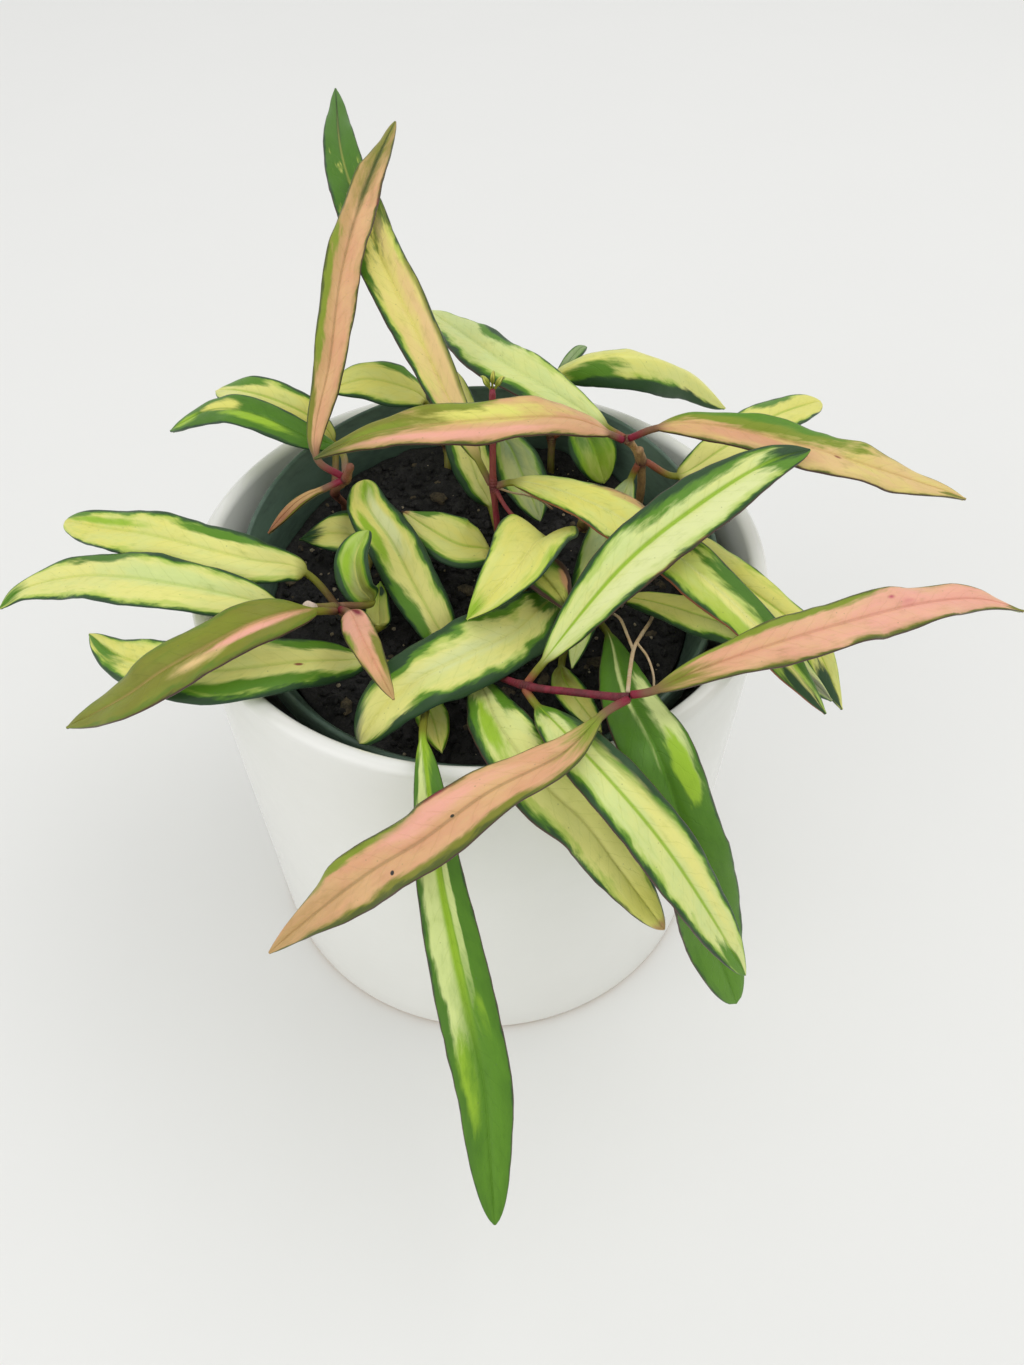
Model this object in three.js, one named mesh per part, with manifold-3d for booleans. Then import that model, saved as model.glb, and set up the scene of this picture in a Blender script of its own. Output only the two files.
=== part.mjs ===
// Potted trailing wax plant with narrow variegated leaves: a glazed cover pot, a plastic growing pot
// that stands a little crooked inside it, potting mix, rooted stems, and one solid for each leaf.
// Units are millimetres. Z is up, the origin is the middle of the cover pot's underside,
// and the plant is seen from the -Y side.
import * as THREE from 'three';
import { mergeVertices } from 'three/addons/utils/BufferGeometryUtils.js';
import Module from 'manifold-3d';

const wasm = await Module();
wasm.setup();

// Cover pot
const POT_HEIGHT = 117;
const POT_RIM_RADIUS = 64;
const POT_BASE_RADIUS = 60;
const POT_WALL = 5.5;
const POT_LIP = 4;
const POT_FLOOR = 6;
const POT_COVE = 20;
const POT_LIP_DROP = 11;
const POT_FOOT_BEVEL = 2;
const POT_SIDES = 44;
const ARC_STEPS = 5;

// Growing pot, leaning because its foot has ridden up the cover pot's rounded inside corner
const INNER_RIM_RADIUS = 54;
const INNER_BASE_RADIUS = 36.5;
const INNER_HEIGHT = 103.9;
const INNER_WALL = 1.2;
const INNER_FLOOR = 1.5;
const INNER_BAND = 9;
const INNER_BAND_STEP = 4.2;
const INNER_LIP = 1.8;
const INNER_LIP_BEVEL = 0.5;
const INNER_TILT = THREE.MathUtils.degToRad(10);
const INNER_RIM_CENTRE = new THREE.Vector3(0, -0.2, 115);
const INNER_SIDES = 32;
const DRAIN_HOLES = 6;
const DRAIN_RADIUS = 3.5;
const DRAIN_PLACE = 0.7;

// Potting mix
const SOIL_DROP = 14;
const SOIL_RINGS = 8;
const SOIL_SIDES = 30;
const SOIL_BUMP = 0.9;
const SOIL_CLEARANCE = 0.35;
const CHIP_COUNT = 18;
const CHIP_SIZES = [1.4, 2.8];
const CHIP_REACH = [8, 44];
const CHIP_SHAPE = [1.5, 1, 0.7];
const HOLE_CLEARANCE = 0.4;
const ROOTED_DEPTH = 10;

// Stems and leaves
const STEM_SIDES = 8;
const NODE_SWELL = 1.4;
const SEAT = 0.35;
const PETIOLE_RADIUS = 0.8;
const BLADE_EDGE = 0.75;
const BLADE_MIDDLE = 1.6;
const FOLD = 9;
const FULL = 0.2;
const WIDEST = 0.45;
const RIPPLE_LENGTH = 24;
const SAMPLES = 60;
const BLADE_STATIONS = [0, 0.05, 0.13, 0.24, 0.36, 0.48, 0.6, 0.72, 0.83, 0.93, 1];
const SHORT_BLADE = 40;
const SHORT_STATIONS = [0, 0.1, 0.25, 0.45, 0.65, 0.84, 1];
const BUD_STATIONS = [0, 0.4, 0.75, 1];
const ACROSS = [-1, -0.55, 0, 0.55, 1];

const FINISH = {
  glaze: { color: 0xe9e8e4, roughness: 0.22, metalness: 0 },
  plastic: { color: 0x2f4a3f, roughness: 0.5, metalness: 0 },
  mix: { color: 0x231f1b, roughness: 0.95, metalness: 0 },
  stem: { color: 0x8a5a48, roughness: 0.6, metalness: 0 },
  cream: { color: 0xc9cf7c, roughness: 0.42, metalness: 0 },
  mint: { color: 0xb3c98a, roughness: 0.42, metalness: 0 },
  blush: { color: 0xd79a78, roughness: 0.42, metalness: 0 },
  green: { color: 0x4f7f35, roughness: 0.42, metalness: 0 },
};

// Stems: each stands in the mix at its foot and runs through the places listed, with swollen nodes
const NODE = {
  centreLow: [5, 10, 106],
  centre: [3, 12, 125],
  leftBackLow: [-35, 22, 115],
  leftBack: [-30, 12, 127],
  right: [37, 21, 125],
  rightBranch: [33, 20, 132],
  front: [10, -41, 117],
  frontEnd: [29, -52, 126],
  left: [-30, -20, 118],
  leftLow: [-29, -13, 107],
  crownFront: [-10, -24, 102],
  crownMiddle: [11, 2, 106],
  crownRight: [23, -5, 105],
  crownInner: [24, 18, 108],
  crownLemon: [44, 17, 110],
  crownBack: [17, 43, 116],
  crownBackLeft: [-9, 42, 114],
};
const STEMS = [
  { name: 'stem_centre', foot: [6, 9], radius: 0.9, bud: true,
    path: ['centreLow', 'centre', [3, 14, 136], [3, 17, 147]] },
  { name: 'stem_left_back', foot: [-34, 27], radius: 1.1, path: ['leftBackLow', 'leftBack', [-28, 9, 133]] },
  { name: 'stem_right', foot: [38, 25], radius: 1.2, path: [[38, 23, 115], 'right', [36, 19, 130]] },
  { name: 'stem_front', foot: [-1, -16], radius: 0.95,
    path: [[1, -26, 106], 'front', [19, -47, 122], 'frontEnd'] },
  { name: 'stem_left', foot: [-29, -10], radius: 1.1, path: ['leftLow', 'left', [-34, -25, 123]] },
  { name: 'crown_front', foot: [-10, -22], radius: 1.2, path: ['crownFront', [-10, -25, 105]] },
  { name: 'crown_middle', foot: [10, 2], radius: 1.2, path: ['crownMiddle', [11, 2, 109]] },
  { name: 'crown_right', foot: [22, -4], radius: 1.2, path: ['crownRight', [23, -6, 107]] },
  { name: 'crown_inner', foot: [25, 20], radius: 1.1, path: ['crownInner', [24, 17, 111]] },
  { name: 'crown_lemon', foot: [42, 17], radius: 1.1, path: ['crownLemon', [45, 18, 113]] },
  { name: 'crown_back', foot: [17, 40], radius: 1.1, path: ['crownBack', [16, 43, 118.5]] },
  { name: 'crown_back_left', foot: [-9, 39], radius: 1.1, path: ['crownBackLeft', [-9, 43, 117]] },
];
// Second shoots and roots that grow out of a stem and are one body with it
const SHOOTS = {
  stem_right: [{ radius: 1.0, path: ['right', [35, 21, 129], 'rightBranch'] }],
  stem_front: [
    { radius: 0.7, path: ['frontEnd', [32, -35, 119], [36, -24, 113], [38, -13, 106]] },
    { radius: 0.6, path: [[34, -30, 117], [33, -22, 113], [31, -9, 106]] },
    { radius: 0.6, path: [[34, -30, 117], [37, -37, 117], [38, -39, 114]] },
  ],
  stem_centre: [{ radius: 0.6, path: ['centre', [6, 9, 121], [10, 7, 117]] }],
};

// Leaves. spine: the blade's base, places along its midrib, and its tip. width: across the widest part.
// wave: ripple of the margin. These have a usual value where a leaf gives none:
// roll: turn about the spine in degrees, at the base and at the tip. fold: rise of each half, in degrees.
// full: how blunt the outline is, from 0 (needle) to 1 (strap). widest: where, from 0 (base) to 1 (tip).
const LEAVES = [
  { name: 'leaf_back_upright_blush', from: 'leftBack', finish: 'blush',
    width: 8.6, wave: 1.0, full: 0.5, widest: 0.5,
    spine: [[-36, 13, 132], [-33, 30, 146], [-31, 46, 157], [-27, 66, 166], [-21, 92, 172]] },
  { name: 'leaf_back_upright_tall', from: 'centre', finish: 'cream', width: 11.5, wave: 0.8,
    spine: [[0, 15, 129], [-8, 28, 139], [-15, 40, 148], [-23, 55, 156], [-33, 82, 166], [-38, 115, 171]] },
  { name: 'leaf_right_under', from: 'centre', finish: 'cream', width: 11.5, wave: 0.8,
    spine: [[7, 12, 126], [16, 7, 128], [31, -5, 129], [50, -26, 127], [61, -39, 122], [70, -44, 112]] },
  { name: 'leaf_centre_broad', from: 'front', finish: 'mint',
    width: 13.5, wave: 0.5, full: 0.1, widest: 0.52,
    spine: [[13, -39, 121], [29, -24, 133], [44, -12, 138], [60, 0, 140], [70, 5, 140]] },
  { name: 'leaf_right_blush', from: 'frontEnd', finish: 'blush',
    width: 9.8, wave: 1.2, full: 0.1, widest: 0.47,
    spine: [[33, -52, 128], [41, -50, 131], [51, -47, 133], [68, -41, 134],
      [88, -32, 131], [101, -27, 127], [112, -25, 122]] },
  { name: 'leaf_front_blush', from: 'frontEnd', finish: 'blush',
    width: 11.4, wave: 1.0, full: 0.1, widest: 0.58,
    spine: [[24, -58, 129], [16, -69, 131], [3, -76, 129], [-8, -80, 121],
      [-18, -81, 112], [-29, -83, 101], [-39, -85, 90]] },
  { name: 'leaf_front_right_upper', from: 'front', finish: 'mint',
    width: 11.5, wave: 0.5, full: 0.25, widest: 0.5,
    spine: [[12, -47, 118], [17, -60, 125], [26, -72, 124],
      [34, -77, 115], [43, -81, 100], [53, -85, 81]] },
  { name: 'leaf_front_right_green', from: 'crownRight', finish: 'green',
    width: 15, wave: 0.5, full: 0.3, widest: 0.6,
    spine: [[28, -16, 107], [30, -44, 117], [34, -60, 120], [40, -69, 106],
      [45, -73, 92], [49, -76, 76], [55, -81, 60]] },
  { name: 'leaf_front_cream', from: 'crownFront', finish: 'cream',
    width: 13, wave: 0.7, full: 0.35, widest: 0.5,
    spine: [[-1, -30, 106], [5, -52, 117], [13, -66, 118], [21, -68, 108],
      [27, -70, 98], [33, -73, 89], [38, -75, 81]] },
  { name: 'leaf_centre_cream', from: 'crownRight', finish: 'cream', width: 16, wave: 0.8, full: 0.7,
    spine: [[17, -8, 109], [8, -23, 114], [-2, -33, 117],
      [-12, -41, 118], [-18, -45, 115], [-23, -50, 110]] },
  { name: 'leaf_inner_left', from: 'crownFront', finish: 'mint', width: 12, wave: 0.5, full: 0.8,
    spine: [[-7, -18, 103], [-10, -14, 108], [-15, -6, 112], [-20, 3, 116], [-26, 13, 118], [-28, 24, 117]] },
  { name: 'leaf_cross_blush', from: 'rightBranch', finish: 'blush', width: 10.5, wave: 0.9,
    spine: [[29, 19, 134], [19, 13, 142], [5, 7, 146], [-9, 5, 146], [-23, 7, 142], [-35, 6, 137]] },
  { name: 'leaf_right_back_blush', from: 'rightBranch', finish: 'blush', width: 10.5, wave: 0.9,
    spine: [[39, 17, 137], [47, 14, 140], [69, 9, 138], [86, 9, 132], [110, 11, 122]] },
  { name: 'leaf_left_small_folded', from: 'leftBack', finish: 'blush', width: 2.6, wave: 0.2,
    spine: [[-35, 11, 125], [-41, 10, 122], [-48, 5, 117]] },
  { name: 'leaf_left_small_blush', from: 'left', finish: 'blush',
    width: 6.5, wave: 0.5, full: 0.5, widest: 0.35,
    spine: [[-26.5, -24, 120.5], [-22, -36.5, 125.5], [-18, -46, 127], [-15, -51, 124.5]] },
  { name: 'leaf_left_olive', from: 'left', finish: 'green', width: 10.5, wave: 0.6,
    spine: [[-32, -30, 127], [-36, -37, 133], [-42, -41, 134], [-50, -45, 132],
      [-58, -47, 128], [-66, -48, 122], [-75, -47, 115], [-82, -46, 110]] },
  { name: 'leaf_left_upper', from: 'leftLow', finish: 'cream', width: 12, wave: 0.6, full: 0.8,
    spine: [[-38, -8, 117], [-48, -12, 124], [-59, -10, 126], [-71, -5, 125], [-84, 2, 121], [-95, 9, 117]] },
  { name: 'leaf_left_middle', from: 'left', finish: 'cream', width: 12.5, wave: 0.6,
    spine: [[-40, -18, 115], [-45, -21, 120], [-53, -22, 124], [-64, -20, 125],
      [-76, -15, 122], [-90, -9, 116], [-103, -7, 110], [-108, -9, 107]] },
  { name: 'leaf_left_lower', from: 'crownFront', finish: 'cream', width: 13.5, wave: 0.6,
    spine: [[-23, -25, 107], [-28, -29, 111], [-36, -35, 117], [-44, -40, 121],
      [-52, -42, 122], [-63, -38, 119], [-74, -31, 115], [-83, -22, 112]] },
  { name: 'leaf_left_back_green', from: 'leftBack', finish: 'green', width: 8.5, wave: 0.5,
    spine: [[-33, 25, 125], [-39, 24, 129], [-52, 29, 132], [-63, 35, 129], [-77, 41, 119]] },
  { name: 'leaf_left_back_pale', from: 'leftBackLow', finish: 'cream', width: 11, wave: 0.5,
    spine: [[-36, 34, 121], [-40, 33, 128], [-47, 35, 131], [-57, 41, 130], [-66, 49, 125]] },
  { name: 'leaf_left_back', from: 'crownBackLeft', finish: 'cream', width: 12, wave: 0.6,
    spine: [[-14, 42, 127], [-19, 40, 132], [-27, 40, 134], [-36, 39, 132]] },
  { name: 'leaf_back_mint', from: 'rightBranch', finish: 'mint', width: 13, wave: 0.6,
    spine: [[29, 24, 132], [16, 31, 137], [5, 41, 138], [-4, 57, 135], [-15, 80, 129]] },
  { name: 'leaf_back_arched', from: 'crownBack', finish: 'cream', width: 12, wave: 0.4, fold: -35,
    spine: [[17, 45, 130], [25, 45, 136], [38, 46, 136], [51, 53, 127], [62, 55, 116]] },
  { name: 'leaf_right_back_pale', from: 'right', finish: 'mint', width: 11, wave: 0.5, full: 0.8,
    spine: [[46, 22, 120], [56, 25, 125], [70, 39, 124], [86, 55, 118]] },
  { name: 'leaf_right_lemon', from: 'crownLemon', finish: 'cream', width: 9, wave: 0.5,
    spine: [[48, 4, 117], [50, -6, 121], [55, -18, 123], [69, -26, 115], [79, -31, 98]] },
  { name: 'leaf_right_lowest', from: 'crownRight', finish: 'mint', width: 9, wave: 0.5,
    spine: [[32, -7, 108], [45, -22, 118], [57, -35, 123], [73, -38, 109]] },
  { name: 'leaf_inner_mint', from: 'right', finish: 'mint', width: 10, wave: 0.4,
    spine: [[35, 20, 121], [28, 1, 117], [23, -16, 113], [20, -28, 108]] },
  { name: 'leaf_inner_lime', from: 'centreLow', finish: 'cream',
    width: 12.5, wave: 0.3, fold: 18, widest: 0.3, full: 0.1,
    spine: [[1.7, 6.5, 110.5], [-4.7, 4.7, 113.5], [-11.7, 8.5, 115], [-18.7, 16.2, 114]] },
  { name: 'leaf_inner_curled', from: 'crownInner', finish: 'cream',
    width: 16, wave: 0.3, fold: 30, widest: 0.38, full: 0.1, roll: [14, 0],
    spine: [[16, 5.5, 114.5], [14, -2, 121], [11.7, -8, 124.5],
      [8.5, -16.3, 126], [3.5, -22.5, 124.5], [-2, -27, 121.5]] },
  { name: 'leaf_inner_small_dark', from: 'crownMiddle', finish: 'green',
    width: 10, wave: 0.2, fold: 24, widest: 0.35,
    spine: [[12.3, -0.8, 111.5], [15, -8.3, 114.5], [17.3, -15, 116.5], [19, -20, 117]] },
  { name: 'leaf_left_curled', from: 'left', finish: 'cream',
    width: 9.5, wave: 0.3, fold: 30, full: 0.3, roll: [-30, -30], widest: 0.5,
    spine: [[-23.5, -12.5, 112.5], [-25.5, -11.5, 116], [-26.5, -7.3, 119.5], [-24.2, -0.5, 122.5]] },
  { name: 'leaf_left_curled_low', from: 'leftLow', finish: 'cream',
    width: 12, wave: 0.2, fold: 20, widest: 0.25, full: 0,
    spine: [[-26.5, 11, 108], [-30.5, 12, 110], [-34.5, 11.5, 111], [-43.2, 13.1, 108]] },
  { name: 'leaf_front_tiny', from: 'crownFront', finish: 'cream', width: 7, wave: 0.3,
    spine: [[-12, -27, 100], [-9, -40, 104], [-7, -49, 106]] },
  { name: 'leaf_front_hanging', from: 'crownFront', finish: 'green',
    width: 11.2, wave: 0.5, full: 0, widest: 0.62,
    spine: [[-10, -52, 116], [-8, -67, 121], [-6, -79, 108], [-4, -86, 99],
      [-1, -96, 88], [2, -106, 78], [3, -115, 69], [4, -125, 60]] },
  { name: 'leaf_inner_back', from: 'crownBackLeft', finish: 'mint', width: 12, wave: 0.4,
    spine: [[4, 40, 118], [10, 30, 113], [14, 20, 108]] },
  { name: 'leaf_inner_right', from: 'crownBack', finish: 'mint', width: 12, wave: 0.4,
    spine: [[23, 41, 121], [27, 35, 118], [30, 32, 110]] },
  { name: 'leaf_front_inner', from: 'crownRight', finish: 'cream', width: 7, wave: 0.4,
    spine: [[18, -23, 103], [20, -35, 107], [25, -47, 110]] },
  { name: 'leaf_inner_steep', from: 'centreLow', finish: 'cream', width: 10, wave: 0.4,
    spine: [[2, 24, 109], [-1, 26, 115], [-4, 31, 124], [-6, 45, 133]] },
];

// Helpers: closed solids from rings of points, and the joins and cuts
const vec = (place) => new THREE.Vector3(...place);
const place = (entry) => vec(typeof entry === 'string' ? NODE[entry] : entry);

function seededRandom(seed) {
  let state = seed;
  return () => {
    state = (state * 1664525 + 1013904223) % 4294967296;
    return state / 4294967296;
  };
}

// A solid from rings with the same number of points, counter-clockwise seen from the last ring
function loft(rings) {
  const sides = rings[0].length;
  const positions = rings.flat().flatMap((point) => [point.x, point.y, point.z]);
  const triangles = [];
  for (let ring = 0; ring + 1 < rings.length; ring += 1) {
    for (let side = 0; side < sides; side += 1) {
      const next = (side + 1) % sides;
      const [a, b] = [ring * sides + side, ring * sides + next];
      triangles.push(a, b, b + sides, a, b + sides, a + sides);
    }
  }
  const last = (rings.length - 1) * sides;
  for (let side = 1; side + 1 < sides; side += 1) {
    triangles.push(0, side + 1, side, last, last + side, last + side + 1);
  }
  return indexed(positions, triangles);
}

// Triangles with two corners on one vertex, as at a turned form's axis, are left out
function indexed(positions, corners) {
  const triangles = [];
  for (let i = 0; i < corners.length; i += 3) {
    const [a, b, c] = corners.slice(i, i + 3);
    if (a !== b && b !== c && c !== a) triangles.push(a, b, c);
  }
  const geometry = new THREE.BufferGeometry();
  geometry.setAttribute('position', new THREE.Float32BufferAttribute(positions, 3));
  geometry.setIndex(triangles);
  return geometry;
}

function toSolid(geometry) {
  const bare = geometry.clone();
  bare.deleteAttribute('normal');
  bare.deleteAttribute('uv');
  const merged = mergeVertices(bare, 1e-4);
  const vertProperties = new Float32Array(merged.attributes.position.array);
  const triVerts = new Uint32Array(merged.index.array);
  return new wasm.Manifold(new wasm.Mesh({ numProp: 3, vertProperties, triVerts }));
}

function toGeometry(solid) {
  const mesh = solid.getMesh();
  return indexed(Array.from(mesh.vertProperties), Array.from(mesh.triVerts));
}

function lathe(profile, sides) {
  const points = profile.map(([radius, height]) => new THREE.Vector2(radius, height));
  const turned = new THREE.LatheGeometry(points, sides);
  turned.rotateX(Math.PI / 2);
  turned.deleteAttribute('normal');
  turned.deleteAttribute('uv');
  const merged = mergeVertices(turned, 1e-4);
  return indexed(Array.from(merged.attributes.position.array), Array.from(merged.index.array));
}

function mesh(name, geometry, finish) {
  const made = new THREE.Mesh(geometry, new THREE.MeshStandardMaterial(FINISH[finish]));
  made.name = name;
  return made;
}

// Pots
function coverPot() {
  const outer = (height) => POT_BASE_RADIUS + ((POT_RIM_RADIUS - POT_BASE_RADIUS) * height) / POT_HEIGHT;
  const wallBelowLip = POT_HEIGHT - POT_LIP_DROP;
  const coveTop = POT_FLOOR + POT_COVE;
  const coveInner = outer(coveTop) - POT_WALL - POT_COVE;
  const profile = [[0, 0], [POT_BASE_RADIUS - POT_FOOT_BEVEL, 0]];
  profile.push([outer(POT_FOOT_BEVEL), POT_FOOT_BEVEL]);
  profile.push([outer(wallBelowLip), wallBelowLip]);
  const lip = POT_LIP / 2;
  const lipCentre = POT_RIM_RADIUS - lip;
  for (let step = 0; step <= ARC_STEPS; step += 1) {
    const angle = (Math.PI * step) / ARC_STEPS;
    profile.push([lipCentre + lip * Math.cos(angle), POT_HEIGHT - lip + lip * Math.sin(angle)]);
  }
  profile.push([outer(wallBelowLip) - POT_WALL, wallBelowLip]);
  for (let step = 0; step <= ARC_STEPS; step += 1) {
    const angle = (Math.PI / 2) * (step / ARC_STEPS);
    profile.push([coveInner + POT_COVE * Math.cos(angle), coveTop - POT_COVE * Math.sin(angle)]);
  }
  profile.push([0, POT_FLOOR]);
  return lathe(profile, POT_SIDES);
}

// The growing pot's own frame has its origin at the middle of its rim
const innerWallRadius = (height) => {
  const top = INNER_RIM_RADIUS - INNER_BAND_STEP;
  const bottom = INNER_BASE_RADIUS - INNER_WALL;
  return top + ((bottom - top) * (-height - INNER_BAND)) / (INNER_HEIGHT - INNER_BAND);
};

function growingPot() {
  const floorTop = -INNER_HEIGHT + INNER_FLOOR;
  const body = toSolid(lathe([
    [0, -INNER_HEIGHT],
    [INNER_BASE_RADIUS, -INNER_HEIGHT],
    [innerWallRadius(-INNER_BAND - 1) + INNER_WALL, -INNER_BAND - 1],
    [INNER_RIM_RADIUS, -INNER_BAND],
    [INNER_RIM_RADIUS, -INNER_LIP_BEVEL],
    [INNER_RIM_RADIUS - INNER_LIP_BEVEL, 0],
    [INNER_RIM_RADIUS - INNER_LIP + INNER_LIP_BEVEL, 0],
    [INNER_RIM_RADIUS - INNER_LIP, -INNER_LIP_BEVEL],
    [innerWallRadius(-INNER_BAND), -INNER_BAND + INNER_LIP_BEVEL],
    [innerWallRadius(floorTop), floorTop],
    [0, floorTop],
  ], INNER_SIDES));
  const drills = [];
  for (let hole = 0; hole < DRAIN_HOLES; hole += 1) {
    const angle = (2 * Math.PI * (hole + 0.5)) / DRAIN_HOLES;
    const drill = new THREE.CylinderGeometry(DRAIN_RADIUS, DRAIN_RADIUS, 4 * INNER_FLOOR, 8);
    const reach = DRAIN_PLACE * INNER_BASE_RADIUS;
    drill.rotateX(Math.PI / 2).translate(reach * Math.cos(angle), reach * Math.sin(angle), floorTop);
    drills.push(toSolid(drill));
  }
  return toGeometry(body.subtract(wasm.Manifold.union(drills)));
}

// Potting mix: a lumpy top with chips of bark, and a plain hole for each stem
const innerPotMatrix = new THREE.Matrix4()
  .makeRotationX(INNER_TILT)
  .setPosition(INNER_RIM_CENTRE);
const soilTop = new THREE.Vector3(0, 0, -SOIL_DROP).applyMatrix4(innerPotMatrix);
const soilLevel = (y) => soilTop.z + (y - soilTop.y) * Math.tan(INNER_TILT);
const bump = (x, y) =>
  SOIL_BUMP * (Math.sin(0.31 * x + 1) * Math.cos(0.27 * y) + 0.6 * Math.sin(0.63 * x - 0.5 * y));

function pottingMix() {
  const base = -INNER_HEIGHT + INNER_FLOOR + SOIL_CLEARANCE;
  const topRadius = innerWallRadius(-SOIL_DROP) - 2 * SOIL_CLEARANCE;
  const positions = [0, 0, bump(0, 0) - SOIL_DROP];
  const triangles = [];
  const index = (ring, side) => 1 + ring * SOIL_SIDES + (side % SOIL_SIDES);
  for (let ring = 0; ring <= SOIL_RINGS; ring += 1) {
    const isBase = ring === SOIL_RINGS;
    const radius = isBase ? innerWallRadius(base) - SOIL_CLEARANCE : (topRadius * (ring + 1)) / SOIL_RINGS;
    for (let side = 0; side < SOIL_SIDES; side += 1) {
      const angle = (2 * Math.PI * side) / SOIL_SIDES;
      const [x, y] = [radius * Math.cos(angle), radius * Math.sin(angle)];
      positions.push(x, y, isBase ? base : bump(x, y) - SOIL_DROP);
      if (ring < SOIL_RINGS) {
        const [a, b] = [index(ring, side), index(ring, side + 1)];
        const [c, d] = [index(ring + 1, side + 1), index(ring + 1, side)];
        triangles.push(a, d, c, a, c, b);
      }
      if (ring === 0) triangles.push(0, index(0, side), index(0, side + 1));
    }
  }
  const foot = positions.length / 3;
  positions.push(0, 0, base);
  for (let side = 0; side < SOIL_SIDES; side += 1) {
    triangles.push(foot, index(SOIL_RINGS, side + 1), index(SOIL_RINGS, side));
  }
  const random = seededRandom(7);
  const between = ([low, high], share) => low + (high - low) * share;
  const lumps = [toSolid(indexed(positions, triangles))];
  for (let chip = 0; chip < CHIP_COUNT; chip += 1) {
    const radius = between(CHIP_REACH, Math.sqrt(random()));
    const angle = 2 * Math.PI * random();
    const size = between(CHIP_SIZES, random());
    const [x, y] = [radius * Math.cos(angle), radius * Math.sin(angle)];
    const lump = new THREE.OctahedronGeometry(size).scale(...CHIP_SHAPE).rotateZ(2 * Math.PI * random());
    lump.translate(x, y, bump(x, y) - SOIL_DROP + 0.2 * size);
    lumps.push(toSolid(mergeVertices(lump)));
  }
  const toPotFrame = innerPotMatrix.clone().invert();
  const drills = STEMS.map(({ foot: [x, y], radius }) => {
    const length = 2 * ROOTED_DEPTH;
    const drill = new THREE.CylinderGeometry(radius + HOLE_CLEARANCE, radius + HOLE_CLEARANCE, length, 10);
    drill.rotateX(Math.PI / 2).translate(x, y, soilLevel(y) - HOLE_CLEARANCE);
    return toSolid(drill.applyMatrix4(toPotFrame));
  });
  return toGeometry(wasm.Manifold.union(lumps).subtract(wasm.Manifold.union(drills)));
}

// Stems: round tubes, swollen at their nodes
function tubeRings(points, radii) {
  const rings = [];
  let across = null;
  points.forEach((point, i) => {
    const ahead = points[Math.min(i + 1, points.length - 1)];
    const behind = points[Math.max(i - 1, 0)];
    const along = ahead.clone().sub(behind).normalize();
    if (!across) across = Math.abs(along.x) < 0.9 ? vec([1, 0, 0]) : vec([0, 1, 0]);
    across = across.clone().addScaledVector(along, -across.dot(along)).normalize();
    const other = along.clone().cross(across);
    rings.push(Array.from({ length: STEM_SIDES }, (unused, side) => {
      const angle = (2 * Math.PI * side) / STEM_SIDES;
      return point.clone()
        .addScaledVector(across, radii[i] * Math.cos(angle))
        .addScaledVector(other, radii[i] * Math.sin(angle));
    }));
  });
  return rings;
}

function shoot(path, radius, lead = []) {
  const places = path.map(place);
  const nodes = path.filter((entry) => typeof entry === 'string').map(place);
  const endsInNode = typeof path[path.length - 1] === 'string';
  const curve = new THREE.CatmullRomCurve3(places, false, 'centripetal');
  const points = [...lead];
  for (let span = 0; span + 1 < places.length; span += 1) {
    for (const share of [0, 0.25, 0.75]) points.push(curve.getPoint((span + share) / (places.length - 1)));
  }
  points.push(places[places.length - 1]);
  const radii = points.map((point, i) => {
    const nearest = Math.min(99, ...nodes.map((node) => node.distanceTo(point)));
    const swell = 1 + (NODE_SWELL - 1) * Math.exp(-((nearest / 2) ** 2));
    return radius * (i === points.length - 1 && !endsInNode ? 0.7 : swell);
  });
  return toSolid(loft(tubeRings(points, radii)));
}

function stem({ name, foot: [x, y], radius, path, bud }) {
  const ground = soilLevel(y);
  const lead = [vec([x, y, ground - ROOTED_DEPTH]), vec([x, y, ground - 1])];
  const parts = [shoot([[x, y, ground + 2], ...path], radius, lead)];
  for (const extra of SHOOTS[name] ?? []) parts.push(shoot(extra.path, extra.radius));
  if (bud) {
    const top = vec(path[path.length - 1]);
    const tips = [[-3, 0.5, 5], [3.5, -0.5, 5.5], [0.5, 1, 7.5]];
    tips.forEach((tip, i) => {
      const spine = [top.clone().addScaledVector(vec(tip), 0.35), top.clone().add(vec(tip))];
      const blade = { spine, width: 2.2, wave: 0.1, petiole: 0.5, stations: BUD_STATIONS };
      parts.push(toSolid(loft(bladeRings(blade, top.clone().setZ(top.z - 1), i))));
    });
  }
  return toGeometry(wasm.Manifold.union(parts));
}

// Leaves: a round petiole that widens into a folded blade with a rippled margin
function outline(share, full, widest) {
  const power = 1.5 - 0.9 * full;
  const rising = (share / widest) ** widest;
  const falling = ((1 - share) / (1 - widest)) ** (1 - widest);
  return (rising * falling) ** power;
}

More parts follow.
